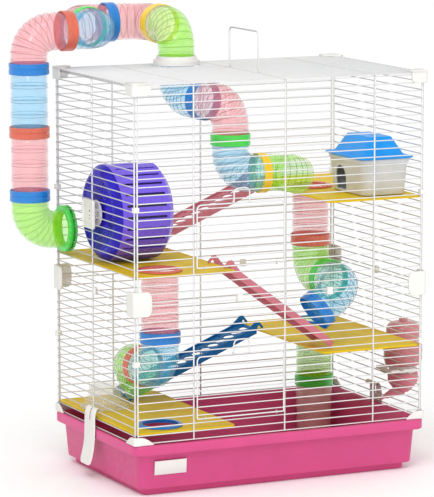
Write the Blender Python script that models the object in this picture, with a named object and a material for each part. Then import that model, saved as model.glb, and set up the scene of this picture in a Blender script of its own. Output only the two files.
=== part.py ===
"""A multi-level wire hamster cage: tray, wire panels, platforms, ramps, wheel, house and tube run.

Metres, +Z up. The origin is the centre of the tray's underside, the front is at -Y.
"""

import math

import bmesh
import bpy
from mathutils import Vector

# Tray
TRAY_X = 0.235                 # half width over the rim
TRAY_Y = 0.150                 # half depth over the rim
RIM_TOP = 0.0761
RIM_LOW = 0.0616
TRAY_FLOOR = 0.0030
TRAY_WALL = 0.0025
STEP_Z = 0.0100                # height of the recessed foot
BODY_INSET_TOP = 0.010
BODY_INSET_LOW = 0.014
FOOT_INSET = 0.023
TRAY_CORNER = 0.014

# Wire frame
WALL_X = 0.231                 # planes of the side panels
WALL_Y = 0.143                 # planes of the front and back panels
WIRE = 0.0022                  # square section of every panel wire
CORNER_POST = 0.0036           # a panel's end post is this far in from the corner
FRONT_POSTS = (-0.140, 0.005, 0.1495)
SIDE_POST = 0.009
LOWER_Z = 0.0790
LOWER_PITCH = 0.0116
LOWER_ROWS = 18
UPPER_Z = 0.2815
UPPER_PITCH = 0.01172
UPPER_ROWS = 27
ROOF_Z = 0.5892
ROOF_ROWS = 25
WIRE_STEP = 3                  # every third horizontal wire is modelled
LATCH_ROW = 2                  # the wire from the bottom that the side latches clip to
GAP = 0.0003                   # clearance between neighbouring pieces

# Doors
DOOR_X = (-0.1375, 0.0025)
DOOR_HEIGHT = 0.092
UPPER_DOOR_Z = 0.325
LOWER_DOOR_Z = 0.107
DOOR_Y = -0.1465
DOOR_WIRE = 0.0020
HOOK_X = (-0.081, -0.054)
HOOK_Y = -0.1493
HOOK_HEIGHT = 0.0225

# Levels: top surface, left and right edge, and the tube hole
PLATE = 0.0030
LEVELS = {
    "lower_left_platform": (0.0935, -0.2294, -0.0720, (-0.172, -0.097)),
    "upper_left_platform": (0.3180, -0.2294, -0.0720, (-0.172, -0.097)),
    "upper_right_platform": (0.4085, 0.0785, 0.2294, (0.129, 0.020)),
    "lower_right_platform": (0.1880, 0.0680, 0.2294, (0.180, 0.105)),
}
PLATFORM_Y = 0.1414
HOLE_R = 0.0280

# Ramps
RAMP_WIDTH = 0.0560
RAMP_DECK = 0.0020
RAMP_RAIL = 0.0022             # thickness of a side rail
RAMP_BELOW = 0.0060            # how far the rails reach below the deck's underside
RAMP_ABOVE = 0.0046            # and above it
RAMP_LIP = 0.0120

# Tubes
TUBE_R = 0.0275
TUBE_WALL = 0.0020
COLLAR_R = 0.0297
COLLAR_W = 0.0165
LEG_FLAT = 0.0590              # collar to corner along a horizontal leg
LEG_UP = 0.0525                # collar to corner along a vertical leg
RING_R = 0.0345
TUBE_SIDES = 12
COLLAR_BORE = TUBE_R / math.cos(math.pi / TUBE_SIDES) + GAP
RISER = (-0.288, 0.105)
WALL_HOLE_Z = 0.356
ROOF_JOINT_Z = 0.5945
HOLE_HALF = 0.0315             # half side of the square hole left in the wires

# Wheel
WHEEL_X = (-0.219, -0.125)
WHEEL_Y = 0.0153
WHEEL_Z = 0.3895
WHEEL_R = 0.0705
AXLE_R = 0.0040

# House
HOUSE_X = (0.137, 0.222)
HOUSE_Y = (-0.127, -0.011)
HOUSE_TAPER = 0.0065
HOUSE_TOP = 0.4625
LID_TOP = 0.493
DOORWAY_Y = -0.0525
DOORWAY_R = 0.0155
DOORWAY_ARCH = 0.0235          # centre of the arch above the floor

# Bottle
BOTTLE_X = 0.2655
BOTTLE_R = 0.0297
BOTTLE_Y = -0.022
NECK_R = 0.0215
NECK_Z = (0.1238, 0.1336)

# Dish
DISH = (-0.190, 0.058)
DISH_R = 0.0380                # foot
DISH_RIM_R = 0.0245
DISH_HEIGHT = 0.0320

# Carry handle
HANDLE_X = 0.005
HANDLE_Y = (-0.0536, 0.0417)
HANDLE_TOP = 0.6495
HANDLE_R = 0.0012

# Side latches
LATCH_Z = LOWER_Z + LATCH_ROW * LOWER_PITCH
LATCH_HALF = 0.0200

COLOURS = {
    "pink_plastic": (0.72, 0.07, 0.25, 1.0),
    "yellow_plastic": (0.78, 0.52, 0.02, 1.0),
    "wire": (0.86, 0.86, 0.87, 1.0),
    "white_plastic": (0.85, 0.83, 0.80, 1.0),
    "dusty_pink": (0.66, 0.15, 0.22, 1.0),
    "ramp_blue": (0.01, 0.11, 0.37, 1.0),
    "wheel_purple": (0.10, 0.06, 0.68, 1.0),
    "house_grey": (0.62, 0.58, 0.52, 1.0),
    "lid_blue": (0.04, 0.32, 0.86, 1.0),
    "tube_pink": (0.95, 0.38, 0.43, 0.6),
    "tube_lime": (0.40, 0.86, 0.05, 0.6),
    "tube_blue": (0.20, 0.60, 0.87, 0.6),
    "clear_plastic": (0.85, 0.86, 0.82, 0.4),
}


def material(name):
    """The named material, made on first use."""
    made = bpy.data.materials.get(name)
    if made is None:
        made = bpy.data.materials.new(name)
        made.use_nodes = True
        shader = made.node_tree.nodes["Principled BSDF"]
        shader.inputs["Base Color"].default_value = COLOURS[name][:3] + (1.0,)
        shader.inputs["Alpha"].default_value = COLOURS[name][3]
        shader.inputs["Roughness"].default_value = 0.35
        shader.inputs["Metallic"].default_value = 0.6 if name == "wire" else 0.0
    return made


def add(name, bm, colour, origin=(0, 0, 0), smooth=False):
    """Turn a bmesh drawn in world coordinates into an object with its origin at a chosen point."""
    bmesh.ops.recalc_face_normals(bm, faces=bm.faces)
    if bm.calc_volume(signed=True) < 0:
        bmesh.ops.reverse_faces(bm, faces=bm.faces)
    bmesh.ops.translate(bm, verts=bm.verts, vec=-Vector(origin))
    mesh = bpy.data.meshes.new(name)
    bm.to_mesh(mesh)
    bm.free()
    mesh.materials.append(material(colour))
    if smooth:
        mesh.shade_smooth()
        mesh.set_sharp_from_angle(angle=math.radians(40))
    obj = bpy.data.objects.new(name, mesh)
    obj.location = origin
    bpy.context.scene.collection.objects.link(obj)
    return obj


def boolean(obj, cutter, operation):
    """Apply one Boolean and remove its other solid."""
    step = obj.modifiers.new(operation.lower(), "BOOLEAN")
    step.operation = operation
    step.object = cutter
    step.solver = "EXACT"
    graph = bpy.context.evaluated_depsgraph_get()
    result = bpy.data.meshes.new_from_object(obj.evaluated_get(graph))
    obj.modifiers.clear()
    obj.data = result
    bpy.data.objects.remove(cutter)


def cut(obj, cutter):
    boolean(obj, cutter, "DIFFERENCE")


def join(obj, other):
    boolean(obj, other, "UNION")


def loft(rings, closed=False):
    """Faces between successive rings of points, with both ends filled unless the rings close on themselves."""
    bm = bmesh.new()
    rows = [[bm.verts.new(point) for point in ring] for ring in rings]
    pairs = list(zip(rows, rows[1:]))
    if closed:
        pairs.append((rows[-1], rows[0]))
    else:
        bm.faces.new(rows[0])
        bm.faces.new(rows[-1])
    for low, high in pairs:
        for i, _ in enumerate(low):
            j = (i + 1) % len(low)
            bm.faces.new((low[i], low[j], high[j], high[i]))
    return bm


def prism(outline, start, end, place):
    """An outline in two dimensions, drawn out from start to end; place maps (u, v, depth) to a point."""
    return loft([[place(u, v, depth) for u, v in outline] for depth in (start, end)])


def box(x, y, z):
    corners = ((x[0], y[0]), (x[1], y[0]), (x[1], y[1]), (x[0], y[1]))
    return prism(corners, z[0], z[1], lambda u, v, depth: (u, v, depth))


def rounded_rectangle(half_x, half_y, radius, z, steps=3, centre=(0.0, 0.0)):
    points = []
    for quarter, (sx, sy) in enumerate(((1, 1), (-1, 1), (-1, -1), (1, -1))):
        for i in range(steps + 1):
            angle = math.pi / 2 * (quarter + i / steps)
            points.append((
                centre[0] + sx * (half_x - radius) + radius * math.cos(angle),
                centre[1] + sy * (half_y - radius) + radius * math.sin(angle),
                z,
            ))
    return points


def circle(centre, across, up, radius, sides):
    return [
        centre + (across * math.cos(a) + up * math.sin(a)) * radius
        for a in (2 * math.pi * i / sides for i in range(sides))
    ]


def turned(profile, centre, axis, sides, closed=False):
    """A solid of revolution; the profile is a list of (distance along the axis, radius)."""
    axis = Vector(axis).normalized()
    across = axis.orthogonal().normalized()
    up = axis.cross(across)
    centre = Vector(centre)
    return loft([circle(centre + axis * s, across, up, r, sides) for s, r in profile], closed)


def lattice(bars, start, end, place):
    """One flat solid made of overlapping bars, each (u0, u1, v0, v1)."""
    def lines(values):
        found = []
        for value in sorted(values):
            if not found or value - found[-1] > 1e-5:
                found.append(value)
        return found

    us = lines([u for bar in bars for u in bar[:2]])
    vs = lines([v for bar in bars for v in bar[2:]])

    def filled(i, j):
        if not (0 <= i < len(us) - 1 and 0 <= j < len(vs) - 1):
            return False
        u = (us[i] + us[i + 1]) / 2
        v = (vs[j] + vs[j + 1]) / 2
        return any(b[0] < u < b[1] and b[2] < v < b[3] for b in bars)

    bm = bmesh.new()
    corners = {}

    def corner(i, j, depth):
        key = (i, j, depth)
        if key not in corners:
            corners[key] = bm.verts.new(place(us[i], vs[j], depth))
        return corners[key]

    for i in range(len(us) - 1):
        for j in range(len(vs) - 1):
            if not filled(i, j):
                continue
            square = ((i, j), (i + 1, j), (i + 1, j + 1), (i, j + 1))
            for depth in (start, end):
                bm.faces.new([corner(a, b, depth) for a, b in square])
            for k, side in enumerate(((i, j - 1), (i + 1, j), (i, j + 1), (i - 1, j))):
                if not filled(*side):
                    a = square[k]
                    b = square[(k + 1) % 4]
                    bm.faces.new((corner(*a, start), corner(*b, start), corner(*b, end), corner(*a, end)))
    return bm


def rows(first, pitch, count):
    """Heights of the horizontal wires that are modelled; the first and last always are."""
    picked = {0, *range(LATCH_ROW, count, WIRE_STEP), count - 1}
    return [first + pitch * i for i in sorted(picked)]


def bar(u0, u1, v, half=WIRE / 2):
    return (u0, u1, v - half, v + half)


def post(u, v0, v1, half=WIRE / 2):
    return (u - half, u + half, v0, v1)


def grid(half_width, posts, heights, hole=None):
    """Bars of a wire panel. hole is (u0, u1, v0, v1), left free of horizontal wires."""
    half = WIRE / 2
    bottom, top = heights[0] - half, heights[-1] + half
    end = half_width - CORNER_POST
    bars = [post(u, bottom, top) for u in (-end, *posts, end)]
    for v in heights:
        if hole and hole[2] < v < hole[3]:
            bars.append(bar(-end - half, hole[0], v))
            bars.append(bar(hole[1], end + half, v))
        else:
            bars.append(bar(-end - half, end + half, v))
    return bars


def front_plane(u, v, depth):
    return (u, depth, v)


def side_plane(u, v, depth):
    return (depth, u, v)


def flat_plane(u, v, depth):
    return (u, v, depth)


def pipe(corner, incoming, outgoing, leg_in, leg_out, features, bend=0.034, bands=()):
    """A hollow elbow, or a straight tube where incoming equals outgoing.

    features is the outer profile as (distance from the start, radius) steps beyond the plain tube;
    a "collar" overhangs the next tube, a "plain" end doesn't. bands are collars along a straight tube.
    """
    incoming = Vector(incoming).normalized()
    outgoing = Vector(outgoing).normalized()
    corner = Vector(corner)
    turn = incoming.angle(outgoing)
    normal = incoming.cross(outgoing)
    normal = normal.normalized() if normal.length > 1e-6 else incoming.orthogonal().normalized()
    tangent_length = bend * math.tan(turn / 2)
    straight_in = leg_in - tangent_length
    arc = bend * turn
    total = straight_in + arc + leg_out - tangent_length

    def ring(s, radius):
        if s <= straight_in or turn < 1e-6:
            centre = corner + incoming * (s - leg_in)
            heading = incoming
        elif s >= straight_in + arc:
            centre = corner + outgoing * (s - total + leg_out)
            heading = outgoing
        else:
            angle = (s - straight_in) / bend
            side = normal.cross(incoming)
            pivot = corner - incoming * tangent_length + side * bend
            heading = incoming * math.cos(angle) + side * math.sin(angle)
            centre = pivot - normal.cross(heading) * bend
        return circle(centre, normal, normal.cross(heading), radius, TUBE_SIDES)

    steps = 4 if turn > 1e-6 else 0
    inside = [straight_in + arc * i / steps for i in range(steps + 1)] if steps else []
    inner_r = TUBE_R - TUBE_WALL
    start, end = GAP / 2, total - GAP / 2
    first, last = features
    outline = [(start, inner_r)]
    outline += first or [(start, TUBE_R)]
    for s in bands:
        low, high = s - COLLAR_W / 2, s + COLLAR_W / 2
        outline += [(low, TUBE_R), (low, COLLAR_R), (high, COLLAR_R), (high, TUBE_R)]
    outline += [(s, TUBE_R) for s in inside]
    if last == "collar":
        reach = COLLAR_W / 2
        outline += [(total - reach, TUBE_R), (total - reach, COLLAR_R), (total + reach, COLLAR_R)]
        outline += [(total + reach, COLLAR_BORE), (end, COLLAR_BORE)]
    elif last == "roof ring":
        outline += [(total - 0.0083, TUBE_R), (total - 0.0083, COLLAR_R), (total - 0.0040, COLLAR_R)]
        outline += [(total - 0.0040, RING_R), (total + 0.0038, RING_R), (total + 0.0038, COLLAR_R)]
        outline += [(total + 0.0083, COLLAR_R), (total + 0.0083, COLLAR_BORE), (end, COLLAR_BORE)]
    else:
        outline += [(end, TUBE_R)]
    outline += [(end, inner_r)]
    outline += [(s, inner_r) for s in reversed(inside)]
    return loft([ring(s, r) for s, r in outline], closed=True)


def hole_flange(height):
    """A ring that lies on a platform around its hole, at the top of a tube."""
    return [(0.0, TUBE_R - TUBE_WALL + 0.0005), (0.0, RING_R - 0.002), (height, RING_R - 0.002), (height, TUBE_R)]


def make_tray():
    wall = TRAY_WALL
    rings = []
    for inset, z in (
        (FOOT_INSET + 0.001, 0.0),
        (FOOT_INSET, STEP_Z),
        (BODY_INSET_LOW, STEP_Z),
        (BODY_INSET_TOP, RIM_LOW),
        (0.0, RIM_LOW),
        (0.0, RIM_TOP),
        (BODY_INSET_TOP + wall, RIM_TOP),
        (BODY_INSET_LOW + wall, STEP_Z + wall),
        (FOOT_INSET + wall, STEP_Z + wall),
        (FOOT_INSET + wall + 0.001, TRAY_FLOOR),
    ):
        radius = max(TRAY_CORNER - inset * 0.4, 0.004)
        rings.append(rounded_rectangle(TRAY_X - inset, TRAY_Y - inset, radius, z))
    add("tray", loft(rings), "pink_plastic", smooth=True)


def make_panels():
    lower = rows(LOWER_Z, LOWER_PITCH, LOWER_ROWS)
    upper = rows(UPPER_Z, UPPER_PITCH, UPPER_ROWS)
    half = WIRE / 2
    doorway = (FRONT_POSTS[0], FRONT_POSTS[1])
    for level, heights, door_z in (("lower", lower, LOWER_DOOR_Z), ("upper", upper, UPPER_DOOR_Z)):
        hole = (*doorway, door_z, door_z + DOOR_HEIGHT)
        bars = grid(WALL_X, FRONT_POSTS, heights, hole)
        add(f"{level}_front_panel", lattice(bars, -WALL_Y - half, -WALL_Y + half, front_plane), "wire")
        bars = grid(WALL_X, FRONT_POSTS, heights)
        add(f"{level}_back_panel", lattice(bars, WALL_Y - half, WALL_Y + half, front_plane), "wire")
        for name, x in (("left", -WALL_X), ("right", WALL_X)):
            hole = None
            if (level, name) == ("upper", "left"):
                hole = (
                    RISER[1] - HOLE_HALF, RISER[1] + HOLE_HALF,
                    WALL_HOLE_Z - HOLE_HALF, WALL_HOLE_Z + HOLE_HALF,
                )
            bars = grid(WALL_Y, (SIDE_POST,), heights, hole)
            add(f"{level}_{name}_panel", lattice(bars, x - half, x + half, side_plane), "wire")


def roof_hole():
    """Centre of the hole in the roof, two elbows along from the riser."""
    return (RISER[0] + 4 * LEG_FLAT, RISER[1])


def make_roof():
    half = WIRE / 2
    hole_x, hole_y = roof_hole()
    pitch = 2 * WALL_Y / (ROOF_ROWS - 1)
    bars = [post(u, -WALL_Y - half, WALL_Y + half) for u in (-WALL_X, *FRONT_POSTS, WALL_X)]
    for v in rows(-WALL_Y, pitch, ROOF_ROWS):
        if abs(v - hole_y) < HOLE_HALF:
            bars.append(bar(-WALL_X - half, hole_x - HOLE_HALF, v))
            bars.append(bar(hole_x + HOLE_HALF, WALL_X + half, v))
        else:
            bars.append(bar(-WALL_X - half, WALL_X + half, v))
    add("roof_panel", lattice(bars, ROOF_Z - half, ROOF_Z + half, flat_plane), "wire")


def angle_piece(leg_x, leg_y, inner_x, inner_y, thick, round_r=0.004):
    """Outline of an L that wraps the corner at +X, +Y from outside."""
    outer_x = inner_x + thick
    outer_y = inner_y + thick
    points = [(outer_x - leg_x, inner_y), (inner_x, inner_y), (inner_x, outer_y - leg_y), (outer_x, outer_y - leg_y)]
    for i in range(4):
        a = math.pi / 2 * i / 3
        points.append((outer_x - round_r + round_r * math.cos(a), outer_y - round_r + round_r * math.sin(a)))
    points.append((outer_x - leg_x, outer_y))
    return points


def make_corner_pieces():
    inner_x = WALL_X + WIRE / 2 + GAP
    inner_y = WALL_Y + WIRE / 2 + GAP
    for name, sx, sy in (
        ("front_left", -1, -1), ("front_right", 1, -1), ("back_left", -1, 1), ("back_right", 1, 1),
    ):
        def place(u, v, depth, sx=sx, sy=sy):
            return (sx * u, sy * v, depth)

        clamp = angle_piece(0.029, 0.029, inner_x, inner_y, 0.003)
        add(f"{name}_section_joint", prism(clamp, 0.2615, 0.2971, place), "white_plastic")
        shoe = angle_piece(0.030, 0.030, inner_x, inner_y, 0.0022, 0.003)
        add(f"{name}_foot_clip", prism(shoe, RIM_TOP + GAP, 0.0885, place), "white_plastic")
        skirt = angle_piece(0.027, 0.027, inner_x, inner_y, 0.003)
        cap = add(f"{name}_roof_cap", prism(skirt, 0.574, 0.5926, place), "white_plastic")
        outer_x = inner_x + 0.003
        outer_y = inner_y + 0.003
        top = [
            (outer_x - 0.027, outer_y - 0.001), (outer_x - 0.027, outer_y - 0.012),
            (outer_x - 0.012, outer_y - 0.027), (outer_x - 0.001, outer_y - 0.027),
            (outer_x - 0.001, outer_y - 0.004), (outer_x - 0.004, outer_y - 0.001),
        ]
        plate = add("plate", prism(top, ROOF_Z + WIRE / 2 + GAP, 0.5922, place), "white_plastic")
        join(cap, plate)


def make_platforms():
    for name, (top, left, right, hole) in LEVELS.items():
        centre = ((left + right) / 2, 0.0)
        rings = [
            rounded_rectangle((right - left) / 2, PLATFORM_Y, 0.008, z, 2, centre)
            for z in (top - PLATE, top)
        ]
        plate = add(name, loft(rings), "yellow_plastic")
        cutter = add("cutter", turned([(-0.01, HOLE_R), (0.01, HOLE_R)], (*hole, top), (0, 0, 1), 24), "wire")
        cut(plate, cutter)


def make_ramp(name, low, high, y, width, colour):
    """A deck with cross slots between two taller side rails, and a lip that hooks over the upper platform."""
    low = Vector((low[0], y, low[1]))
    high = Vector((high[0], y, high[1]))
    along = (high - low).normalized()
    across = Vector((0, 1, 0))
    up = along.cross(across)
    up = up if up.z > 0 else -up
    length = (high - low).length
    half = width / 2

    def place(u, v, depth):
        return low + along * u + across * v + up * depth

    treads = 8
    first, last = RAMP_RAIL / 2, length - RAMP_RAIL / 2
    edge = half - RAMP_RAIL / 2
    pitch = (last - first) / treads
    bars = [(first, last, -edge, 0.0050 - edge), (first, last, edge - 0.0050, edge)]
    for i in range(treads + 1):
        start = min(max(first + (i - 0.3) * pitch, first), last - pitch * 0.6)
        bars.append((start, start + pitch * 0.6, -edge, edge))
    ramp = add(name, lattice(bars, 0.0, RAMP_DECK, place), colour)
    for side in (-1, 1):
        inner, outer = side * (half - RAMP_RAIL), side * half
        outline = ((0.0, inner), (length, inner), (length, outer), (0.0, outer))
        join(ramp, add("rail", prism(outline, -RAMP_BELOW, RAMP_ABOVE, place), colour))
    ahead = math.copysign(1.0, along.x)
    lip_x = sorted((high.x - ahead * 0.0050, high.x + ahead * RAMP_LIP))
    lip_z = (high.z + 0.0010 + GAP, high.z + 0.0030 + GAP)
    join(ramp, add("lip", box(lip_x, (y - edge, y + edge), lip_z), colour))


def make_ramps():
    upper_left = LEVELS["upper_left_platform"]
    upper_right = LEVELS["upper_right_platform"]
    lower_left = LEVELS["lower_left_platform"]
    lower_right = LEVELS["lower_right_platform"]
    rest = RAMP_BELOW + 2 * GAP
    make_ramp(
        "upper_ramp", (-0.118, upper_left[0] + rest), (upper_right[1] - 0.0020, upper_right[0] - 0.0010),
        0.105, RAMP_WIDTH, "dusty_pink",
    )
    make_ramp(
        "middle_ramp", (0.095, lower_right[0] + rest), (upper_left[2] + 0.0030, upper_left[0] - 0.0010),
        -0.093, RAMP_WIDTH, "dusty_pink",
    )
    make_ramp(
        "lower_ramp", (-0.146, lower_left[0] + rest), (lower_right[1] - 0.0020, lower_right[0] - 0.0010),
        0.102, RAMP_WIDTH, "ramp_blue",
    )


def make_wheel():
    left, right = WHEEL_X
    length = right - left
    wall = 0.0025
    r = WHEEL_R
    bore = AXLE_R + GAP
    profile = [
        (0.0, bore), (0.0, r - 0.010), (0.010, r), (length - 0.010, r), (length, r - 0.012),
        (length - wall, r - 0.013), (length - 0.011, r - wall), (0.011, r - wall), (wall, r - 0.011), (wall, bore),
    ]
    centre = (left, WHEEL_Y, WHEEL_Z)
    add("exercise_wheel", turned(profile, centre, (1, 0, 0), 24, closed=True), "wheel_purple", centre, True)

    inside = -WALL_X + WIRE / 2 + GAP
    outside = -WALL_X - WIRE / 2 - GAP
    hub = left + wall + GAP
    stem = [
        (outside - 0.0020, AXLE_R), (inside, AXLE_R), (inside, 0.016), (inside + 0.003, 0.016),
        (left - 0.006, 0.009), (left - GAP, 0.009), (left - GAP, AXLE_R), (hub, AXLE_R),
        (hub, 0.008), (hub + 0.003, 0.008),
    ]
    bracket = add("wheel_bracket", turned(stem, (0, WHEEL_Y, WHEEL_Z), (1, 0, 0), 16), "white_plastic")
    plate = add(
        "plate",
        box((outside - 0.0034, outside), (WHEEL_Y - 0.020, WHEEL_Y + 0.020), (WHEEL_Z - 0.021, WHEEL_Z + 0.021)),
        "white_plastic",
    )
    join(bracket, plate)


def make_house():
    floor = LEVELS["upper_right_platform"][0] + GAP
    centre = (sum(HOUSE_X) / 2, sum(HOUSE_Y) / 2)
    half_x = (HOUSE_X[1] - HOUSE_X[0]) / 2
    half_y = (HOUSE_Y[1] - HOUSE_Y[0]) / 2
    wall = 0.0022

    def ring(inset, z, radius=0.006):
        return rounded_rectangle(half_x - inset, half_y - inset, radius, z, 2, centre)

    corner = 0.011
    body = add("house_body", loft([
        ring(HOUSE_TAPER, floor, corner), ring(0.001, HOUSE_TOP, corner), ring(0.001 + wall, HOUSE_TOP, corner),
        ring(HOUSE_TAPER + wall, floor + wall, corner),
    ]), "house_grey")
    sill = 0.004 - DOORWAY_ARCH
    door = [(-DOORWAY_R, sill), (DOORWAY_R, sill)]
    door += [(DOORWAY_R * math.cos(math.pi * i / 6), DOORWAY_R * math.sin(math.pi * i / 6)) for i in range(7)]
    cutter = add("cutter", prism(
        door, HOUSE_X[0] - 0.01, HOUSE_X[0] + 0.03,
        lambda u, v, depth: (depth, DOORWAY_Y + u, floor + DOORWAY_ARCH + v),
    ), "wire")
    cut(body, cutter)
    low = HOUSE_TOP + GAP
    lip = 0.0025
    add("house_lid", loft([
        ring(0.024, LID_TOP), ring(0.010, low + lip + 0.001), ring(-0.0012, low + lip), ring(-0.0012, low),
        ring(wall + 0.001, low), ring(0.0115, low + 0.001 + GAP), ring(0.026, LID_TOP - wall),
    ]), "lid_blue", (*centre, low))


def make_bottle():
    neck_low, neck_high = NECK_Z
    profile = [
        (0.0915, 0.010), (0.0985, 0.0165), (0.1070, 0.0222), (0.1228, 0.0230), (neck_low, NECK_R),
        (neck_high, NECK_R), (0.1346, 0.0265), (0.1440, BOTTLE_R), (0.1640, BOTTLE_R), (0.1660, 0.0268),
        (0.1900, 0.0262), (0.1985, 0.0190), (0.2010, 0.0080), (0.2040, 0.0070), (0.2068, 0.0040),
    ]
    origin = (BOTTLE_X, BOTTLE_Y, 0.0)
    bottle = add("water_bottle", turned(profile, origin, (0, 0, 1), 20), "dusty_pink", origin, True)
    start = Vector((BOTTLE_X - 0.004, BOTTLE_Y, 0.0965))
    end = Vector((0.2215, BOTTLE_Y, 0.0824))
    spout = add(
        "spout", turned([(0, 0.0024), ((end - start).length, 0.0024)], start, end - start, 10), "wire",
    )
    join(bottle, spout)


def make_bottle_clip():
    """A plate on the outside of the right wall with two arms that hold the bottle's neck from both sides."""
    outer = WALL_X + WIRE / 2 + GAP
    plate = 0.0028
    neck = NECK_R + 0.0006
    arm = neck + 0.0024
    reach = BOTTLE_X + 0.010
    outline = [
        (outer, -arm), (reach, -arm), (reach, -neck), (outer + plate, -neck),
        (outer + plate, neck), (reach, neck), (reach, arm), (outer, arm),
    ]
    low, high = NECK_Z[0] + 0.0025, NECK_Z[1] - 0.0025
    shape = prism(outline, low, high, lambda u, v, depth: (u, BOTTLE_Y + v, depth))
    clip = add("bottle_clip", shape, "white_plastic")
    back = box((outer, outer + plate), (BOTTLE_Y - 0.013, BOTTLE_Y + 0.013), (0.112, 0.146))
    join(clip, add("back", back, "white_plastic"))


def make_dish():
    top = LEVELS["lower_left_platform"][0] + GAP
    profile = [
        (0.0, DISH_R), (0.0028, DISH_R), (0.0085, DISH_R * 0.80), (0.0150, DISH_RIM_R + 0.0024),
        (DISH_HEIGHT, DISH_RIM_R), (DISH_HEIGHT, DISH_RIM_R - 0.0024), (0.0090, DISH_RIM_R - 0.0004),
        (0.0030, DISH_RIM_R * 0.75),
    ]
    add("food_dish", turned(profile, (*DISH, top), (0, 0, 1), 24), "clear_plastic", (*DISH, top), True)


def make_doors():
    half = DOOR_WIRE / 2
    left, right = DOOR_X
    for level, bottom, first, pitch in (
        ("upper", UPPER_DOOR_Z, UPPER_Z, UPPER_PITCH), ("lower", LOWER_DOOR_Z, LOWER_Z, LOWER_PITCH),
    ):
        top = bottom + DOOR_HEIGHT
        heights = [bottom + half, top - half]
        heights += [bottom + half + pitch * i for i in (3, 5)]
        bars = [bar(left, right, v, half) for v in heights]
        bars += [post(left + half, bottom, top, half), post(right - half, bottom, top, half)]
        hinge = (0.0, DOOR_Y, bottom + half)
        add(f"{level}_door", lattice(bars, DOOR_Y - half, DOOR_Y + half, front_plane), "wire", hinge)
        foot = top - half
        bars = [
            post(HOOK_X[0] + half, foot, foot + HOOK_HEIGHT, half),
            post(HOOK_X[1] - half, foot, foot + HOOK_HEIGHT, half),
            bar(HOOK_X[0], HOOK_X[1], foot + HOOK_HEIGHT - half, half),
        ]
        hook = lattice(bars, HOOK_Y - half, HOOK_Y + half, front_plane)
        add(f"{level}_door_hook", hook, "wire", (0.0, DOOR_Y, foot))


def make_handle():
    low = ROOF_Z + 0.0021
    near, far = HANDLE_Y
    corner = 0.012
    path = [(near, low)]
    for i in range(5):
        a = math.pi - math.pi / 2 * i / 4
        path.append((near + corner + corner * math.cos(a), HANDLE_TOP - corner + corner * math.sin(a)))
    for i in range(5):
        a = math.pi / 2 - math.pi / 2 * i / 4
        path.append((far - corner + corner * math.cos(a), HANDLE_TOP - corner + corner * math.sin(a)))
    path.append((far, low))
    rings = []
    for i, (y, z) in enumerate(path):
        before = Vector(path[max(i - 1, 0)])
        after = Vector(path[min(i + 1, len(path) - 1)])
        heading = (after - before).normalized()
        side = Vector((0, -heading.y, heading.x))
        rings.append(circle(Vector((HANDLE_X, y, z)), Vector((1, 0, 0)), side, HANDLE_R, 8))
    add("carry_handle", loft(rings), "wire", (HANDLE_X, 0.0, ROOF_Z), True)


def make_latch(name, side):
    """A springy strap that clips over a side wire, crosses the rim and hooks under its lower edge."""
    drop = LATCH_Z - RIM_LOW
    face = TRAY_X - WALL_X + GAP
    outer = face + 0.0030
    clip_r = 0.0052
    bore = 0.0020
    steps = 6
    profile = [(-outer, -drop - 0.004), (-outer, 0.0010)]
    profile += [
        (clip_r * math.cos(a), clip_r * math.sin(a))
        for a in (math.radians(145 - 145 * i / steps) for i in range(steps + 1))
    ]
    profile += [(clip_r, -0.0012), (bore, -0.0012)]
    profile += [
        (bore * math.cos(a), bore * math.sin(a))
        for a in (math.radians(180 * i / steps) for i in range(steps + 1))
    ]
    hook = drop + 0.0006
    profile += [
        (-bore, -0.0022), (-face, -0.0046), (-face, -hook), (0.0020, -hook), (0.0020, -hook - 0.0026),
        (-face, -hook - 0.0046), (-face - 0.0020, -0.0600), (-face - 0.0080, -0.0810),
        (-face - 0.0110, -0.0795), (-outer - 0.0020, -0.0580),
    ]
    centre_y = SIDE_POST

    def place(u, v, depth):
        return (side * (WALL_X - u), depth, LATCH_Z + v)

    strap = prism(profile, centre_y - LATCH_HALF, centre_y + LATCH_HALF, place)
    obj = add(name, strap, "white_plastic", (side * WALL_X, centre_y, LATCH_Z))
    slot = box(
        tuple(sorted((side * (WALL_X - 0.02), side * (WALL_X + 0.02)))),
        (centre_y - 0.0035, centre_y + 0.0035), (LATCH_Z - 0.0220, LATCH_Z + 0.02),
    )
    cut(obj, add("cutter", slot, "wire"))


def make_outer_tubes():
    x, y = RISER
    run_z = ROOF_JOINT_Z + LEG_UP
    wall_leg = -WALL_X - x + 0.0045
    ring = [
        (GAP / 2, RING_R), (0.0032, RING_R), (0.0032, TUBE_R + 0.0012), (0.0061, TUBE_R + 0.0012),
        (0.0061, RING_R), (0.0125, RING_R), (0.0125, TUBE_R),
    ]
    left, up, right, back = (-1, 0, 0), (0, 0, 1), (1, 0, 0), (0, 1, 0)
    front, down = (0, -1, 0), (0, 0, -1)
    add("wall_elbow", pipe((x, y, WALL_HOLE_Z), left, up, wall_leg, LEG_UP, (ring, "collar")), "tube_lime")
    z = WALL_HOLE_Z + LEG_UP
    riser = (run_z - LEG_UP - z) / 2
    shape = pipe((x, y, z + riser), up, up, riser, riser, (None, "collar"), bands=(riser,))
    add("riser_tube", shape, "tube_pink")
    step = 2 * LEG_FLAT
    add("riser_top_elbow", pipe((x, y, run_z), up, right, LEG_UP, LEG_FLAT, (None, "collar")), "tube_pink")
    for name, corner, enter, leave, colour in (
        ("roof_run_elbow_1", (x + step, y), right, back, "tube_blue"),
        ("roof_run_elbow_2", (x + step, y + step), back, right, "tube_pink"),
        ("roof_run_elbow_3", (x + 2 * step, y + step), right, front, "tube_pink"),
    ):
        shape = pipe((*corner, run_z), enter, leave, LEG_FLAT, LEG_FLAT, (None, "collar"))
        add(name, shape, colour)
    shape = pipe((x + 2 * step, y, run_z), front, down, LEG_FLAT, LEG_UP, (None, "roof ring"))
    add("roof_entry_elbow", shape, "tube_lime")


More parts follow.
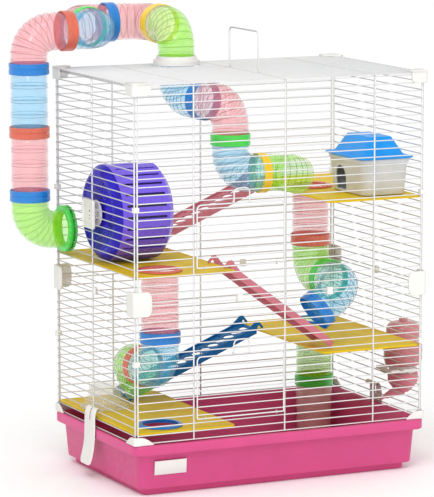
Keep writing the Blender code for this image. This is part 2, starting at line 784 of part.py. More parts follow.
def make_upper_tubes():
    """The run that hangs from the roof and ends over the upper right platform."""
    x, y = roof_hole()
    up, down, right, front = (0, 0, 1), (0, 0, -1), (1, 0, 0), (0, -1, 0)
    angle = math.radians(17)
    heading = (math.sin(angle), -math.cos(angle), 0)
    z = ROOF_JOINT_Z - LEG_UP
    add("roof_drop_elbow", pipe((x, y, z), down, heading, LEG_UP, LEG_FLAT, (None, "collar")), "tube_blue")
    x += 2 * LEG_FLAT * heading[0]
    y += 2 * LEG_FLAT * heading[1]
    add("inner_down_elbow", pipe((x, y, z), heading, down, LEG_FLAT, LEG_UP, (None, "collar")), "tube_pink")
    z -= 2 * LEG_UP
    add("inner_turn_elbow", pipe((x, y, z), down, right, LEG_UP, 0.0480, (None, "collar")), "tube_blue")
    x += 0.0480 + 0.0395
    shape = pipe((x, y, z), right, front, 0.0395, 0.0460, (None, "plain"), bend=0.031)
    add("shelf_exit_elbow", shape, "tube_lime")


def make_right_tubes():
    """The tube down from the upper right platform, and the one from the lower right platform to the tray."""
    down, front = (0, 0, -1), (0, -1, 0)
    top, _, _, (x, y) = LEVELS["upper_right_platform"]
    top += GAP + 0.003
    flange = hole_flange(0.003)
    joint = 0.3293
    length = top - joint
    shape = pipe((x, y, joint + length / 2), down, down, length / 2, length / 2, (flange, "collar"))
    add("right_shelf_tube", shape, "tube_pink")
    z = joint - LEG_UP
    add("right_turn_elbow", pipe((x, y, z), down, front, LEG_UP, LEG_FLAT, (None, "collar")), "tube_lime")
    angle = math.radians(35)
    leave = (-math.cos(angle), 0, -math.sin(angle))
    shape = pipe((x, y - 2 * LEG_FLAT, z), front, leave, LEG_FLAT, LEG_FLAT, (None, "collar"))
    add("right_landing_elbow", shape, "tube_blue")

    top, _, _, (x, y) = LEVELS["lower_right_platform"]
    top += GAP + 0.003
    joint = 0.0964
    length = top - (STEP_Z + TRAY_WALL + 0.0010)
    centre = (x, y, top - length / 2)
    shape = pipe(centre, down, down, length / 2, length / 2, (flange, "plain"), bands=(top - joint,))
    add("right_drop_tube", shape, "tube_lime")


def make_left_tubes():
    """The tube down from the upper left platform, ending over the lower left one."""
    down, back = (0, 0, -1), (0, 1, 0)
    top, _, _, (x, y) = LEVELS["upper_left_platform"]
    top += GAP + 0.003
    joint = 0.2225
    length = top - joint
    z = joint - LEG_UP
    flange = hole_flange(0.003)
    shape = pipe((x, y, z), down, back, top - z, LEG_FLAT, (flange, "collar"), bands=(length,))
    add("left_drop_tube", shape, "tube_pink")
    leave = (0.5, 0, -math.sqrt(0.75))
    shape = pipe((x, y + 2 * LEG_FLAT, z), back, leave, LEG_FLAT, LEG_UP, (None, "plain"))
    add("left_exit_elbow", shape, "tube_lime")


def main():
    for obj in list(bpy.data.objects):
        bpy.data.objects.remove(obj)
    make_tray()
    make_panels()
    make_roof()
    make_corner_pieces()
    make_platforms()
    make_ramps()
    make_wheel()
    make_house()
    make_bottle()
    make_bottle_clip()
    make_dish()
    make_doors()
    make_handle()
    make_latch("left_latch", -1)
    make_latch("right_latch", 1)
    make_outer_tubes()
    make_upper_tubes()
    make_right_tubes()
    make_left_tubes()


main()
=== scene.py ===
"""Looks of the hamster cage: round wires, rolled tray, ribbed clear tubes and the parts inside."""

import math

import bmesh
import bpy
from mathutils import Matrix, Vector


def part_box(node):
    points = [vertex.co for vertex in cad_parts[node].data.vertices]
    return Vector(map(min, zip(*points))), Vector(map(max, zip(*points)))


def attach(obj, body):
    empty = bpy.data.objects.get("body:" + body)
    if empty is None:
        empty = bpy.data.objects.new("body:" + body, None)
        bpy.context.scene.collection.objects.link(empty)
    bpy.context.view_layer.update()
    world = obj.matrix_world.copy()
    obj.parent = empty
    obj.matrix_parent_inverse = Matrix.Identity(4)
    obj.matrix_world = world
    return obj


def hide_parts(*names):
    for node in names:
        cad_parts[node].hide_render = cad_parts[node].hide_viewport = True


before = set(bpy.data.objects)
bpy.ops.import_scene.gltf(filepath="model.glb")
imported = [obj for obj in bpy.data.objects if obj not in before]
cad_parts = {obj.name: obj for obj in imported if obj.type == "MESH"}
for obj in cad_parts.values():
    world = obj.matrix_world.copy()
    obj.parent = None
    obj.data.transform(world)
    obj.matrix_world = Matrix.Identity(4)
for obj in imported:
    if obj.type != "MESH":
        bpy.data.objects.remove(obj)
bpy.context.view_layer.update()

X, Y, Z = Vector((1, 0, 0)), Vector((0, 1, 0)), Vector((0, 0, 1))
CORNERS = (("front_left", -1, -1), ("front_right", 1, -1), ("back_left", -1, 1), ("back_right", 1, 1))

# Wires
ROW_R = 0.00085
POST_R = 0.00120
LOWER_ROWS = 18
UPPER_ROWS = 27
ROOF_ROWS = 25
WIRE_INSET = 0.0011  # from a panel's edge to the middle of its last wire
FRONT_POSTS = (-0.140, 0.005, 0.1495)
SIDE_POSTS = (0.009,)
WALL_X = 0.231  # plane of the side walls
TRAY_X = 0.235  # half width of the tray over its rim
CORNER_X, CORNER_Y = 0.2324, 0.1444  # inner faces of the white corner pieces

# Tubes
TUBE_R = 0.0275
TUBE_WALL = 0.0016
COLLAR_R = 0.0297
COLLAR_W = 0.0165
RING_R = 0.0345
LEG_FLAT = 0.0590
LEG_UP = 0.0525
BEND = 0.034
TUBE_SIDES = 40
RIB_H = 0.0004
RIB_W = 0.00045
GAP = 0.0002  # between a tube and the next
TUBE_ANGLE = math.radians(17)  # how far the run under the roof is turned
LANDING_ANGLE = math.radians(35)  # how far the right run's last elbow points down
PLATFORM_HOLE_R = 0.0280

# Camera
LENS = 235.5
CAMERA_PLACE = (-2.0722, -4.2614, 1.0490)
CAMERA_DOWN = 8.683
CAMERA_TURN = -25.547


# ---------------------------------------------------------------- materials

MOTTLE_SCALE = 38.0
GLOSS_SCALE = 160.0
GRAIN_SCALE = 1400.0
GRAIN_DEPTH = 0.0004


def noise_value(nodes, links, place, scale, detail, low, high):
    """A number that wanders between low and high over the surface."""
    noise = nodes.new("ShaderNodeTexNoise")
    noise.inputs["Scale"].default_value = scale
    noise.inputs["Detail"].default_value = detail
    links.new(place.outputs["Object"], noise.inputs["Vector"])
    spread = nodes.new("ShaderNodeMapRange")
    spread.inputs["From Min"].default_value = 0.3
    spread.inputs["From Max"].default_value = 0.7
    spread.inputs["To Min"].default_value = low
    spread.inputs["To Max"].default_value = high
    links.new(noise.outputs["Fac"], spread.inputs["Value"])
    return spread.outputs["Result"]


def surface(name, colour, roughness, alpha=1.0, coat=0.0, metallic=0.0, grain=0.03, mottle=0.06, rim=0.0,
            specular=0.5):
    """A moulded or coated surface: mottled colour, uneven gloss and a fine grain in the bump.

    rim is painted shade: it darkens the colour where the surface turns away from the view, painting the
    darker edges that round white wire shows against a white wall.
    """
    made = bpy.data.materials.new(name)
    made.use_nodes = True
    nodes, links = made.node_tree.nodes, made.node_tree.links
    shader = nodes["Principled BSDF"]
    shader.inputs["Metallic"].default_value = metallic
    shader.inputs["Alpha"].default_value = alpha
    shader.inputs["Coat Weight"].default_value = coat
    shader.inputs["Coat Roughness"].default_value = 0.06
    shader.inputs["Specular IOR Level"].default_value = specular
    place = nodes.new("ShaderNodeTexCoord")
    blend = nodes.new("ShaderNodeMix")
    blend.data_type = "RGBA"
    blend.inputs["A"].default_value = (*[c * (1 - mottle) for c in colour], 1)
    blend.inputs["B"].default_value = (*[min(c * (1 + mottle), 1) for c in colour], 1)
    links.new(noise_value(nodes, links, place, MOTTLE_SCALE, 3.0, 0.0, 1.0), blend.inputs["Factor"])
    shade = blend.outputs["Result"]
    # rim paints shade: the colour is mixed towards a darker copy where the surface faces away from the view
    if rim:
        turn = nodes.new("ShaderNodeLayerWeight")
        turn.inputs["Blend"].default_value = 0.5
        painted_edge_shade = nodes.new("ShaderNodeMix")
        painted_edge_shade.data_type = "RGBA"
        painted_edge_shade.inputs["B"].default_value = (*[c * (1 - rim) for c in colour], 1)
        links.new(turn.outputs["Facing"], painted_edge_shade.inputs["Factor"])
        links.new(shade, painted_edge_shade.inputs["A"])
        shade = painted_edge_shade.outputs["Result"]
    links.new(shade, shader.inputs["Base Color"])
    gloss = noise_value(nodes, links, place, GLOSS_SCALE, 4.0, roughness * 0.85, roughness * 1.2)
    links.new(gloss, shader.inputs["Roughness"])
    bump = nodes.new("ShaderNodeBump")
    bump.inputs["Strength"].default_value = grain
    bump.inputs["Distance"].default_value = GRAIN_DEPTH
    links.new(noise_value(nodes, links, place, GRAIN_SCALE, 2.0, 0.0, 1.0), bump.inputs["Height"])
    links.new(bump.outputs["Normal"], shader.inputs["Normal"])
    return made


FINISHES = {
    # finish: (material's name, colour, roughness, the record's slot, what else sets it apart)
    "tray": ("TrayPink", (0.65, 0.074, 0.235), 0.40, "tray_pink",
             dict(coat=0.05, grain=0.10, mottle=0.03, specular=0.3)),
    "platform": ("PlatformYellow", (0.78, 0.54, 0.008), 0.50, "platform_yellow",
                 dict(grain=0.16, specular=0.2)),
    # the rim values on wire and white are painted shade, darkening their colour towards their edges
    "wire": ("WhiteWire", (0.88, 0.88, 0.88), 0.33, "wire",
             dict(coat=0.2, grain=0.06, mottle=0.02, rim=0.75)),
    "white": ("WarmWhite", (0.86, 0.84, 0.80), 0.38, "white_plastic",
              dict(grain=0.12, mottle=0.03, rim=0.25)),
    "dusty": ("DustyPink", (0.64, 0.20, 0.245), 0.48, "dusty_pink", dict(grain=0.14, specular=0.25)),
    "ramp_blue": ("RampBlue", (0.002, 0.140, 0.42), 0.44, "ramp_blue", dict(grain=0.12, specular=0.25)),
    "wheel": ("WheelViolet", (0.19, 0.11, 0.76), 0.28, "wheel_purple",
              dict(alpha=0.97, coat=0.15, specular=0.3)),
    "wheel_side": ("WheelIndigo", (0.022, 0.010, 0.44), 0.30, "wheel_purple",
                   dict(alpha=0.97, coat=0.1, mottle=0.4, specular=0.2)),
    # painted shade: a near-black indigo for the sheet inside the tread, so the slots between the slats look
    # dark
    "wheel_painted_shade": ("WheelShade", (0.012, 0.006, 0.085), 0.4, "wheel_purple", {}),
    "dark": ("ScrewDark", (0.03, 0.03, 0.03), 0.5, None, {}),
    "house": ("HouseGrey", (0.66, 0.665, 0.66), 0.45, "house_grey", dict(grain=0.16)),
    "lid": ("LidBlue", (0.008, 0.31, 0.84), 0.34, "lid_blue", dict(coat=0.05, specular=0.25)),
    "bottle": ("BottleRose", (0.60, 0.19, 0.21), 0.25, "bottle_rose", dict(alpha=0.94, coat=0.4)),
    "pink": ("TubePink", (1.0, 0.27, 0.31), 0.06, "tube_pink", dict(alpha=0.22, coat=1.0, grain=0.0)),
    "pink_line": ("TubePinkLine", (0.60, 0.17, 0.19), 0.15, "tube_pink", dict(alpha=0.36, coat=1.0)),
    "frost": ("TubeFrost", (0.86, 0.56, 0.53), 0.12, "tube_pink", dict(alpha=0.46, coat=0.8, grain=0.0)),
    "frost_line": ("TubeFrostLine", (0.60, 0.30, 0.30), 0.15, "tube_pink", dict(alpha=0.36, coat=1.0)),
    "lime": ("TubeLime", (0.42, 0.98, 0.004), 0.06, "tube_lime", dict(alpha=0.30, coat=1.0, grain=0.0)),
    "lime_line": ("TubeLimeLine", (0.26, 0.70, 0.01), 0.15, "tube_lime", dict(alpha=0.34, coat=1.0)),
    "sky": ("TubeBlue", (0.03, 0.60, 0.95), 0.06, "tube_blue", dict(alpha=0.19, coat=1.0, grain=0.0)),
    "sky_line": ("TubeBlueLine", (0.04, 0.26, 0.44), 0.15, "tube_blue", dict(alpha=0.40, coat=1.0)),
    "blue": ("CollarBlue", (0.008, 0.20, 0.60), 0.24, "collar_blue", dict(coat=0.2)),
    "orange": ("CollarOrange", (0.66, 0.13, 0.075), 0.26, "collar_orange", dict(coat=0.2)),
    "green": ("CollarGreen", (0.060, 0.66, 0.07), 0.24, "collar_green", dict(coat=0.2)),
    "yellow": ("CollarYellow", (0.90, 0.60, 0.012), 0.24, "collar_yellow", dict(coat=0.3)),
    "clear": ("ClearPlastic", (0.80, 0.78, 0.70), 0.08, "clear_plastic",
              dict(alpha=0.24, coat=0.8, grain=0.0)),
    "steel": ("SpoutSteel", (0.62, 0.60, 0.60), 0.22, None, dict(metallic=1.0)),
}
finishes = {finish: (surface(name, colour, roughness, **extra), slot)
            for finish, (name, colour, roughness, slot, extra) in FINISHES.items()}


# ---------------------------------------------------------------- mesh helpers

def put(name, data):
    """A new object in the scene."""
    obj = bpy.data.objects.new(name, data)
    bpy.context.scene.collection.objects.link(obj)
    return obj


def mesh_from(name, bm):
    """A mesh with its faces turned outward, made from a bmesh that isn't needed after it."""
    bmesh.ops.recalc_face_normals(bm, faces=bm.faces)
    mesh = bpy.data.meshes.new(name)
    bm.to_mesh(mesh)
    bm.free()
    return mesh


def piece(name, bm, finish, body="cage", nodes=(), sharp=38.0):
    """Turn a bmesh in the frame's coordinates into a shown piece that rides on a body."""
    mesh = mesh_from(name, bm)
    look, slot = finishes[finish]
    mesh.materials.append(look)
    mesh.shade_smooth()
    mesh.set_sharp_from_angle(angle=math.radians(sharp))
    obj = put(name, mesh)
    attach(obj, body)
    if nodes:
        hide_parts(*nodes)
    return obj


def merge(bm, other):
    """Add a second bmesh to the first."""
    mesh = mesh_from("merged", other)
    bm.from_mesh(mesh)
    bpy.data.meshes.remove(mesh)


def loft(bm, rings, ends=True, closed=False):
    """Faces between successive rings of points."""
    rows = [[bm.verts.new(point) for point in ring] for ring in rings]
    pairs = list(zip(rows, rows[1:]))
    if closed:
        pairs.append((rows[-1], rows[0]))
    elif ends:
        bm.faces.new(rows[0])
        bm.faces.new(rows[-1])
    for low, high in pairs:
        for i in range(len(low)):
            j = (i + 1) % len(low)
            bm.faces.new((low[i], low[j], high[j], high[i]))
    return rows


def soften(bm, width, segments=2):
    """Round every edge sharper than 30 degrees."""
    bm.normal_update()
    edges = [e for e in bm.edges if len(e.link_faces) == 2 and e.calc_face_angle(0) > math.radians(30)]
    bmesh.ops.bevel(bm, geom=edges, offset=width, segments=segments, profile=0.5, affect="EDGES",
                    clamp_overlap=True)


def rounded_rectangle(half_x, half_y, radius, z, steps=6, centre=(0.0, 0.0)):
    """The points of a level rectangle with round corners."""
    points = []
    for quarter, (sx, sy) in enumerate(((1, 1), (-1, 1), (-1, -1), (1, -1))):
        for i in range(steps + 1):
            angle = math.pi / 2 * (quarter + i / steps)
            x = centre[0] + sx * (half_x - radius) + radius * math.cos(angle)
            y = centre[1] + sy * (half_y - radius) + radius * math.sin(angle)
            points.append(Vector((x, y, z)))
    return points


def circle(centre, across, up, radius, sides, lobes=0, lobe_height=0.0):
    """The points of a circle, wavy if it has lobes."""
    points = []
    for i in range(sides):
        a = 2 * math.pi * i / sides
        r = radius + lobe_height * math.cos(lobes * a) if lobes else radius
        points.append(centre + (across * math.cos(a) + up * math.sin(a)) * r)
    return points


def turned(bm, profile, centre, axis, sides=40, closed=False, lobes=0):
    """A solid of revolution; the profile is a list of (distance along the axis, radius, lobe height)."""
    axis = Vector(axis).normalized()
    across = axis.orthogonal().normalized()
    up = axis.cross(across)
    rings = []
    for step in profile:
        lobe_height = step[2] if len(step) > 2 else 0.0
        rings.append(circle(Vector(centre) + axis * step[0], across, up, step[1], sides, lobes, lobe_height))
    loft(bm, rings, closed=closed)


def block(bm, low, high):
    """A box, kept with sharp edges until soften rounds them."""
    base = [Vector((low[0], low[1], low[2])), Vector((high[0], low[1], low[2])),
            Vector((high[0], high[1], low[2])), Vector((low[0], high[1], low[2]))]
    loft(bm, [base, [p + Z * (high[2] - low[2]) for p in base]])


def rod(bm, start, end, radius, sides=8):
    """A straight wire with rounded ends."""
    start, end = Vector(start), Vector(end)
    axis = (end - start).normalized()
    length = (end - start).length
    tip = radius * 0.6
    turned(bm, [(0, radius * 0.55), (tip * 0.4, radius * 0.88), (tip, radius), (length - tip, radius),
                (length - tip * 0.4, radius * 0.88), (length, radius * 0.55)], start, axis, sides)


def bent_rod(bm, points, radius, sides=10, closed=False):
    """A wire along a line of points, turned as little as possible from one to the next."""
    points = [Vector(p) for p in points]
    count = len(points)
    headings = []
    for i in range(count):
        before = points[(i - 1) % count] if closed or i else points[0]
        after = points[(i + 1) % count] if closed or i < count - 1 else points[-1]
        headings.append((after - before).normalized())
    side = headings[0].orthogonal().normalized()
    rings = []
    for point, heading in zip(points, headings):
        side = (side - heading * side.dot(heading)).normalized()
        rings.append(circle(point, side, heading.cross(side), radius, sides))
    loft(bm, rings, closed=closed)


def rounded_path(corners, radius, steps=6):
    """A line through corner points, with each corner between its ends turned into an arc."""
    corners = [Vector(c) for c in corners]
    path = [corners[0]]
    for before, corner, after in zip(corners, corners[1:], corners[2:]):
        into = (corner - before).normalized()
        out = (after - corner).normalized()
        half = into.angle(out) / 2
        cut = radius * math.tan(half)
        start = corner - into * cut
        pivot = start + (out - into * into.dot(out)).normalized() * radius
        for k in range(steps + 1):
            turn = Matrix.Rotation(2 * half * k / steps, 3, into.cross(out))
            path.append(pivot + turn @ (start - pivot))
    path.append(corners[-1])
    return path


def perforated(bm, cells, thickness, place, steps=24):
    """A plate made of rectangular cells (u0, u1, v0, v1, hole half width, hole half height, slant).

    place maps (u, v, depth) to a point. The holes are ovals with slightly pointed ends.
    """
    for u0, u1, v0, v1, hole_u, hole_v, slant in cells:
        centre_u, centre_v = (u0 + u1) / 2, (v0 + v1) / 2
        half_u, half_v = (u1 - u0) / 2, (v1 - v0) / 2
        outer, inner = [], []
        for i in range(steps):
            a = 2 * math.pi * (i + 0.5) / steps
            c, s = math.cos(a), math.sin(a)
            reach = 1 / max(abs(c), abs(s))
            outer.append((centre_u + half_u * c * reach, centre_v + half_v * s * reach))
            across = hole_v * s * abs(s) ** 0.4
            inner.append((centre_u + hole_u * c * abs(c) ** 0.4 + slant * across, centre_v + across))
        rings = [
            [place(u, v, 0.0) for u, v in outer], [place(u, v, thickness) for u, v in outer],
            [place(u, v, thickness) for u, v in inner], [place(u, v, 0.0) for u, v in inner],
        ]
        loft(bm, rings, closed=True)


# ---------------------------------------------------------------- tray

def make_tray():
    """The moulded tray with its rolled rim, and the blank plate on its front."""
    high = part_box("tray")[1]
    half_x, half_y, top = high.x, high.y, high.z
    rim = 0.0145
    body_top, body_low, foot = 0.010, 0.014, 0.023
    step = 0.010
    wall = 0.0025
    profile = [
        (foot + 0.0030, 0.0), (foot + 0.0012, 0.0006), (foot + 0.0004, 0.0022), (foot, step - 0.0014),
        (foot - 0.0008, step), (body_low + 0.0022, step), (body_low + 0.0008, step + 0.0006),
        (body_low, step + 0.0022), (body_top + 0.0003, top - rim - 0.0010), (body_top - 0.0008, top - rim),
        (0.0010, top - rim), (0.0002, top - rim + 0.0008), (0.0, top - rim + 0.0022),
        (0.0, top - 0.0024), (0.0006, top - 0.0009), (0.0020, top), (0.0068, top),
        (0.0080, top - 0.0008), (0.0085, top - 0.0022), (body_top + wall, top - 0.0060),
        (body_low + wall, step + wall + 0.002), (body_low + wall + 0.0015, step + wall),
        (foot + wall, step + wall - 0.0005), (foot + wall + 0.0020, 0.0040), (foot + wall + 0.0045, 0.0030),
    ]
    bm = bmesh.new()
    rings = []
    for inset, z in profile:
        radius = max(0.017 - inset * 0.35, 0.004)
        rings.append(rounded_rectangle(half_x - inset, half_y - inset, radius, z, 8))
    loft(bm, rings)
    piece("tray_shell", bm, "tray", nodes=("tray",), sharp=50)

    bm = bmesh.new()
    left, right, bottom, height = -0.2005, -0.1505, 0.0310, 0.0205
    y = -half_y + body_low - 0.0012
    lean = (body_low - body_top) / (top - rim - step)
    rings = []
    for inset, depth in ((0.0, 0.0), (0.0, -0.0007), (0.0006, -0.0012)):
        outline = [(left + inset, bottom + inset), (right - inset, bottom + inset),
                   (right - inset, bottom + height - inset), (left + inset, bottom + height - inset)]
        rings.append([Vector((u, y - lean * (v - step) + depth, v)) for u, v in outline])
    loft(bm, rings)
    piece("tray_blank_plate", bm, "white")


# ---------------------------------------------------------------- wire frame

def levels_of(count, low, high):
    """Heights of all the horizontal wires of a panel, from its CAD box."""
    first, last = low + WIRE_INSET, high - WIRE_INSET
    return [first + (last - first) * i / (count - 1) for i in range(count)]


def make_panels():
    """The eight walls of wire, with room for the doors and the left wall's tube."""
    door = {"lower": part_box("lower_door"), "upper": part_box("upper_door")}
    ring_low, ring_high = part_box("wall_elbow")
    hole_y = (ring_low.y + ring_high.y) / 2
    hole_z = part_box("riser_tube")[0].z - LEG_UP
    posts = {"front": FRONT_POSTS, "back": FRONT_POSTS, "left": SIDE_POSTS, "right": SIDE_POSTS}
    for level, count in (("lower", LOWER_ROWS), ("upper", UPPER_ROWS)):
        for side, across in (("front", Y), ("back", Y), ("left", X), ("right", X)):
            node = f"{level}_{side}_panel"
            low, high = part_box(node)
            plane = (low + high) / 2
            outward = -1 if side in ("front", "left") else 1
            along = X if across == Y else Y
            start, end = low.dot(along) + WIRE_INSET, high.dot(along) - WIRE_INSET
            bm = bmesh.new()

            def at(u, z, out):
                return along * u + across * (plane.dot(across) + outward * out) + Z * z

            for z in levels_of(count, low.z, high.z):
                gaps = []
                if side == "front" and door[level][0].z - 0.001 < z < door[level][1].z + 0.001:
                    gaps = [FRONT_POSTS[:2]]
                if node == "upper_left_panel" and abs(z - hole_z) < RING_R - 0.003:
                    reach = math.sqrt((RING_R - 0.002) ** 2 - (z - hole_z) ** 2)
                    gaps = [(hole_y - reach, hole_y + reach)]
                u = start - 0.0012
                for gap in gaps:
                    rod(bm, at(u, z, 0.0003), at(gap[0], z, 0.0003), ROW_R)
                    u = gap[1]
                rod(bm, at(u, z, 0.0003), at(end + 0.0012, z, 0.0003), ROW_R)
            for u in (start, *posts[side], end):
                rod(bm, at(u, low.z, -0.0006), at(u, high.z, -0.0006), POST_R, 10)
            piece(f"{node}_wires", bm, "wire", nodes=(node,))


def make_roof():
    """The roof's wires, cut short round the tube's ring."""
    low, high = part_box("roof_panel")
    z = (low.z + high.z) / 2
    hole_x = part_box("roof_entry_elbow")[1].x - RING_R
    hole_y = 0.105
    bm = bmesh.new()
    for i in range(ROOF_ROWS):
        y = low.y + WIRE_INSET + (high.y - low.y - 2 * WIRE_INSET) * i / (ROOF_ROWS - 1)
        spans = [(low.x, high.x)]
        if abs(y - hole_y) < RING_R - 0.002:
            reach = math.sqrt((RING_R - 0.001) ** 2 - (y - hole_y) ** 2)
            spans = [(low.x, hole_x - reach), (hole_x + reach, high.x)]
        for start, end in spans:
            rod(bm, (start, y, z), (end, y, z), ROW_R)
    for x in (low.x + POST_R, *FRONT_POSTS, high.x - POST_R):
        rod(bm, (x, low.y, z - 0.0008), (x, high.y, z - 0.0008), POST_R, 10)
    piece("roof_wires", bm, "wire", nodes=("roof_panel",))


def make_small_clips():
    """White sleeves that hold the two halves of the frame together and pair up the corner posts."""
    post_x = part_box("lower_front_panel")[1].x - WIRE_INSET
    post_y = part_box("lower_left_panel")[1].y - WIRE_INSET
    wall_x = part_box("lower_right_panel")[1].x - WIRE_INSET
    wall_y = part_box("lower_back_panel")[1].y - WIRE_INSET
    seam = (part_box("lower_front_panel")[1].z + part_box("upper_front_panel")[0].z) / 2
    between_posts, sleeve_z = (-0.0675, 0.077), (0.194, 0.414)
    bm = bmesh.new()
    spots = [(x, sy * wall_y, 0.0046, 0.0026) for x in between_posts for sy in (-1, 1)]
    spots += [(sx * wall_x, 0.0, 0.0026, 0.0046) for sx in (-1, 1)]
    for x, y, half_x, half_y in spots:
        block(bm, (x - half_x, y - half_y, seam - 0.0052), (x + half_x, y + half_y, seam + 0.0052))
    for _, sx, sy in CORNERS:
        for z in sleeve_z:
            x, y = sx * (post_x + wall_x) / 2, sy * (post_y + wall_y) / 2
            block(bm, (x - 0.0042, y - 0.0042, z - 0.0036), (x + 0.0042, y + 0.0042, z + 0.0036))
    soften(bm, 0.0010)
    piece("frame_clips", bm, "white")


def corner_band(sx, sy, leg, thick, radius, edges, steps=10):
    """A strip that runs along one wall, round the corner and along the other.

    edges(t) gives the low and high edge and the thickness's share, for t from 0 at a tip to 1 at the corner.
    """
    outer_x, outer_y = CORNER_X + thick, CORNER_Y + thick
    route = []
    for i in range(steps):
        route.append((outer_x - leg + (leg - radius) * i / steps, outer_y, 0.0, 1.0, i / steps))
    for i in range(steps + 1):
        a = math.pi / 2 * (1 - i / steps)
        c, s = math.cos(a), math.sin(a)
        route.append((outer_x - radius + radius * c, outer_y - radius + radius * s, c, s, 1.0))
    for i in range(1, steps + 1):
        route.append((outer_x, outer_y - radius - (leg - radius) * i / steps, 1.0, 0.0, 1 - i / steps))
    rings = []
    for x, y, nx, ny, t in route:
        low, high, share = edges(t)
        b = min(0.0009, (high - low) * 0.3)
        depth = thick * share
        ring = []
        for inward, z in ((thick, low), (thick - depth + b, low), (thick - depth, low + b),
                          (thick - depth, high - b), (thick - depth + b, high), (thick, high)):
            px = max(min(x - nx * inward, x), outer_x - leg)
            py = max(min(y - ny * inward, y), outer_y - leg)
            ring.append(Vector((sx * px, sy * py, z)))
        rings.append(ring)
    bm = bmesh.new()
    loft(bm, rings)
    return bm


def rounded_end(away, r):
    """How far a strip's round end falls back at a distance from its tip."""
    return r - math.sqrt(max(r * r - max(r - away, 0) ** 2, 0))


def make_corner_pieces():
    """At each corner, a joint between the frames, a shoe on the tray and a cap on the roof."""
    for name, sx, sy in CORNERS:
        low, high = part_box(f"{name}_section_joint")
        leg = high.x - low.x
        mid, half = (low.z + high.z) / 2, (high.z - low.z) / 2

        def joint_edges(t, leg=leg, mid=mid, half=half):
            drop = rounded_end(t * leg, 0.0085)
            return mid - half + drop, mid + half - drop, 0.55 + 0.45 * min(t * 4, 1)

        bm = corner_band(sx, sy, leg, 0.003, 0.0048, joint_edges)
        piece(f"{name}_section_joint_shell", bm, "white", nodes=(f"{name}_section_joint",))

        low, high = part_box(f"{name}_foot_clip")

        def shoe_edges(t, low=low, high=high):
            rise = math.sin(min(t * 1.25, 1) * math.pi / 2)
            return low.z, low.z + 0.0022 + (high.z - low.z - 0.0022) * rise, 1.0

        bm = corner_band(sx, sy, high.x - low.x, 0.0022, 0.0048, shoe_edges)
        piece(f"{name}_foot_clip_shell", bm, "white", nodes=(f"{name}_foot_clip",))

        low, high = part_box(f"{name}_roof_cap")
        leg = high.x - low.x

        def cap_edges(t, low=low, high=high, leg=leg):
            return low.z + rounded_end(t * leg, 0.007), high.z - 0.0006, 1.0

        thick, r = 0.003, 0.0055
        bm = corner_band(sx, sy, leg, thick, r, cap_edges)
        outer_x, outer_y = CORNER_X + thick, CORNER_Y + thick
        outline = [(outer_x - leg, outer_y), (outer_x - leg, outer_y - 0.010),
                   (outer_x - 0.010, outer_y - leg), (outer_x, outer_y - leg)]
        for i in range(7):
            a = math.pi / 2 * i / 6
            outline.append((outer_x - r + r * math.cos(a), outer_y - r + r * math.sin(a)))
        plate = bmesh.new()
        loft(plate, [[Vector((sx * u, sy * v, z)) for u, v in outline] for z in (high.z - 0.0026, high.z)])
        soften(plate, 0.0009)
        merge(bm, plate)
        piece(f"{name}_roof_cap_shell", bm, "white", nodes=(f"{name}_roof_cap",))


# ---------------------------------------------------------------- doors and handle

def make_doors():
    """The two doors of wire with their hinge eyes, and the hooks on their top wires."""
    for level, count in (("lower", LOWER_ROWS), ("upper", UPPER_ROWS)):
        low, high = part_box(f"{level}_door")
        y = (low.y + high.y) / 2
        r = POST_R * 0.9
        bm = bmesh.new()
        corners = [Vector((x, y, z)) for x, z in ((low.x + r, low.z + r), (high.x - r, low.z + r),
                                                  (high.x - r, high.z - r), (low.x + r, high.z - r))]
        upper = rounded_path([corners[0] + Z * 0.004, corners[3], corners[2], corners[1] + Z * 0.004], 0.0065)
        lower = rounded_path([upper[-1], corners[1], corners[0], upper[0]], 0.0018)
        bent_rod(bm, upper + lower[1:-1], r, closed=True)
        for z in levels_of(count, *[b.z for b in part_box(f"{level}_front_panel")]):
            if low.z + 0.004 < z < high.z - 0.0065:
                rod(bm, (low.x + r, y + 0.0002, z), (high.x - r, y + 0.0002, z), ROW_R)
        for x in (low.x + 0.013, high.x - 0.013):
            ring = circle(Vector((x, y, low.z + r)), Y, Z, 0.0021, 14)
            bent_rod(bm, ring, 0.0007, 6, closed=True)
        piece(f"{level}_door_wires", bm, "wire", f"{level}_door", (f"{level}_door",))

        low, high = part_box(f"{level}_door_hook")
        y = (low.y + high.y) / 2
        foot = low.z + r
        top = high.z - r
        bm = bmesh.new()
        coil_r, pitch, turn_steps, steps = 0.0021, 0.0016, 12, 18
        coil = []
        for i in range(steps + 1):
            a = 2 * math.pi * i / turn_steps
            coil.append((max(low.x + pitch - pitch * i / steps, low.x + 0.0004),
                         min(y + coil_r - coil_r * math.cos(a), high.y + 0.002), foot + coil_r * math.sin(a)))
        loop = rounded_path([(low.x + r, y, foot + 0.001), (low.x + r, y, top), (high.x - r, y, top),
                             (high.x - r, y, foot)], 0.0075)
        bent_rod(bm, loop, r)
        bent_rod(bm, coil, 0.0008, 8)
        piece(f"{level}_door_hook_wire", bm, "wire", f"{level}_door_hook", (f"{level}_door_hook",))


def make_handle():
    """The bent wire of the carry handle, with a small ring round the roof's wire at each foot."""
    low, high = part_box("carry_handle")
    x = (low.x + high.x) / 2
    r = POST_R
    foot = low.z + 0.0008
    bm = bmesh.new()
    near, far = low.y + r, high.y - r
    path = rounded_path([(x, near, foot), (x, near, high.z - r), (x, far, high.z - r), (x, far, foot)], 0.007)
    bent_rod(bm, path, r)
    roof_low, roof_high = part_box("roof_panel")
    pivot_z = (roof_low.z + roof_high.z) / 2
    for y in (near, far):
        bent_rod(bm, circle(Vector((x, y, pivot_z)), X, Z, 0.0031, 16), 0.0008, 8, closed=True)
    piece("carry_handle_wire", bm, "wire", "handle", ("carry_handle",))


# ---------------------------------------------------------------- platforms and ramps

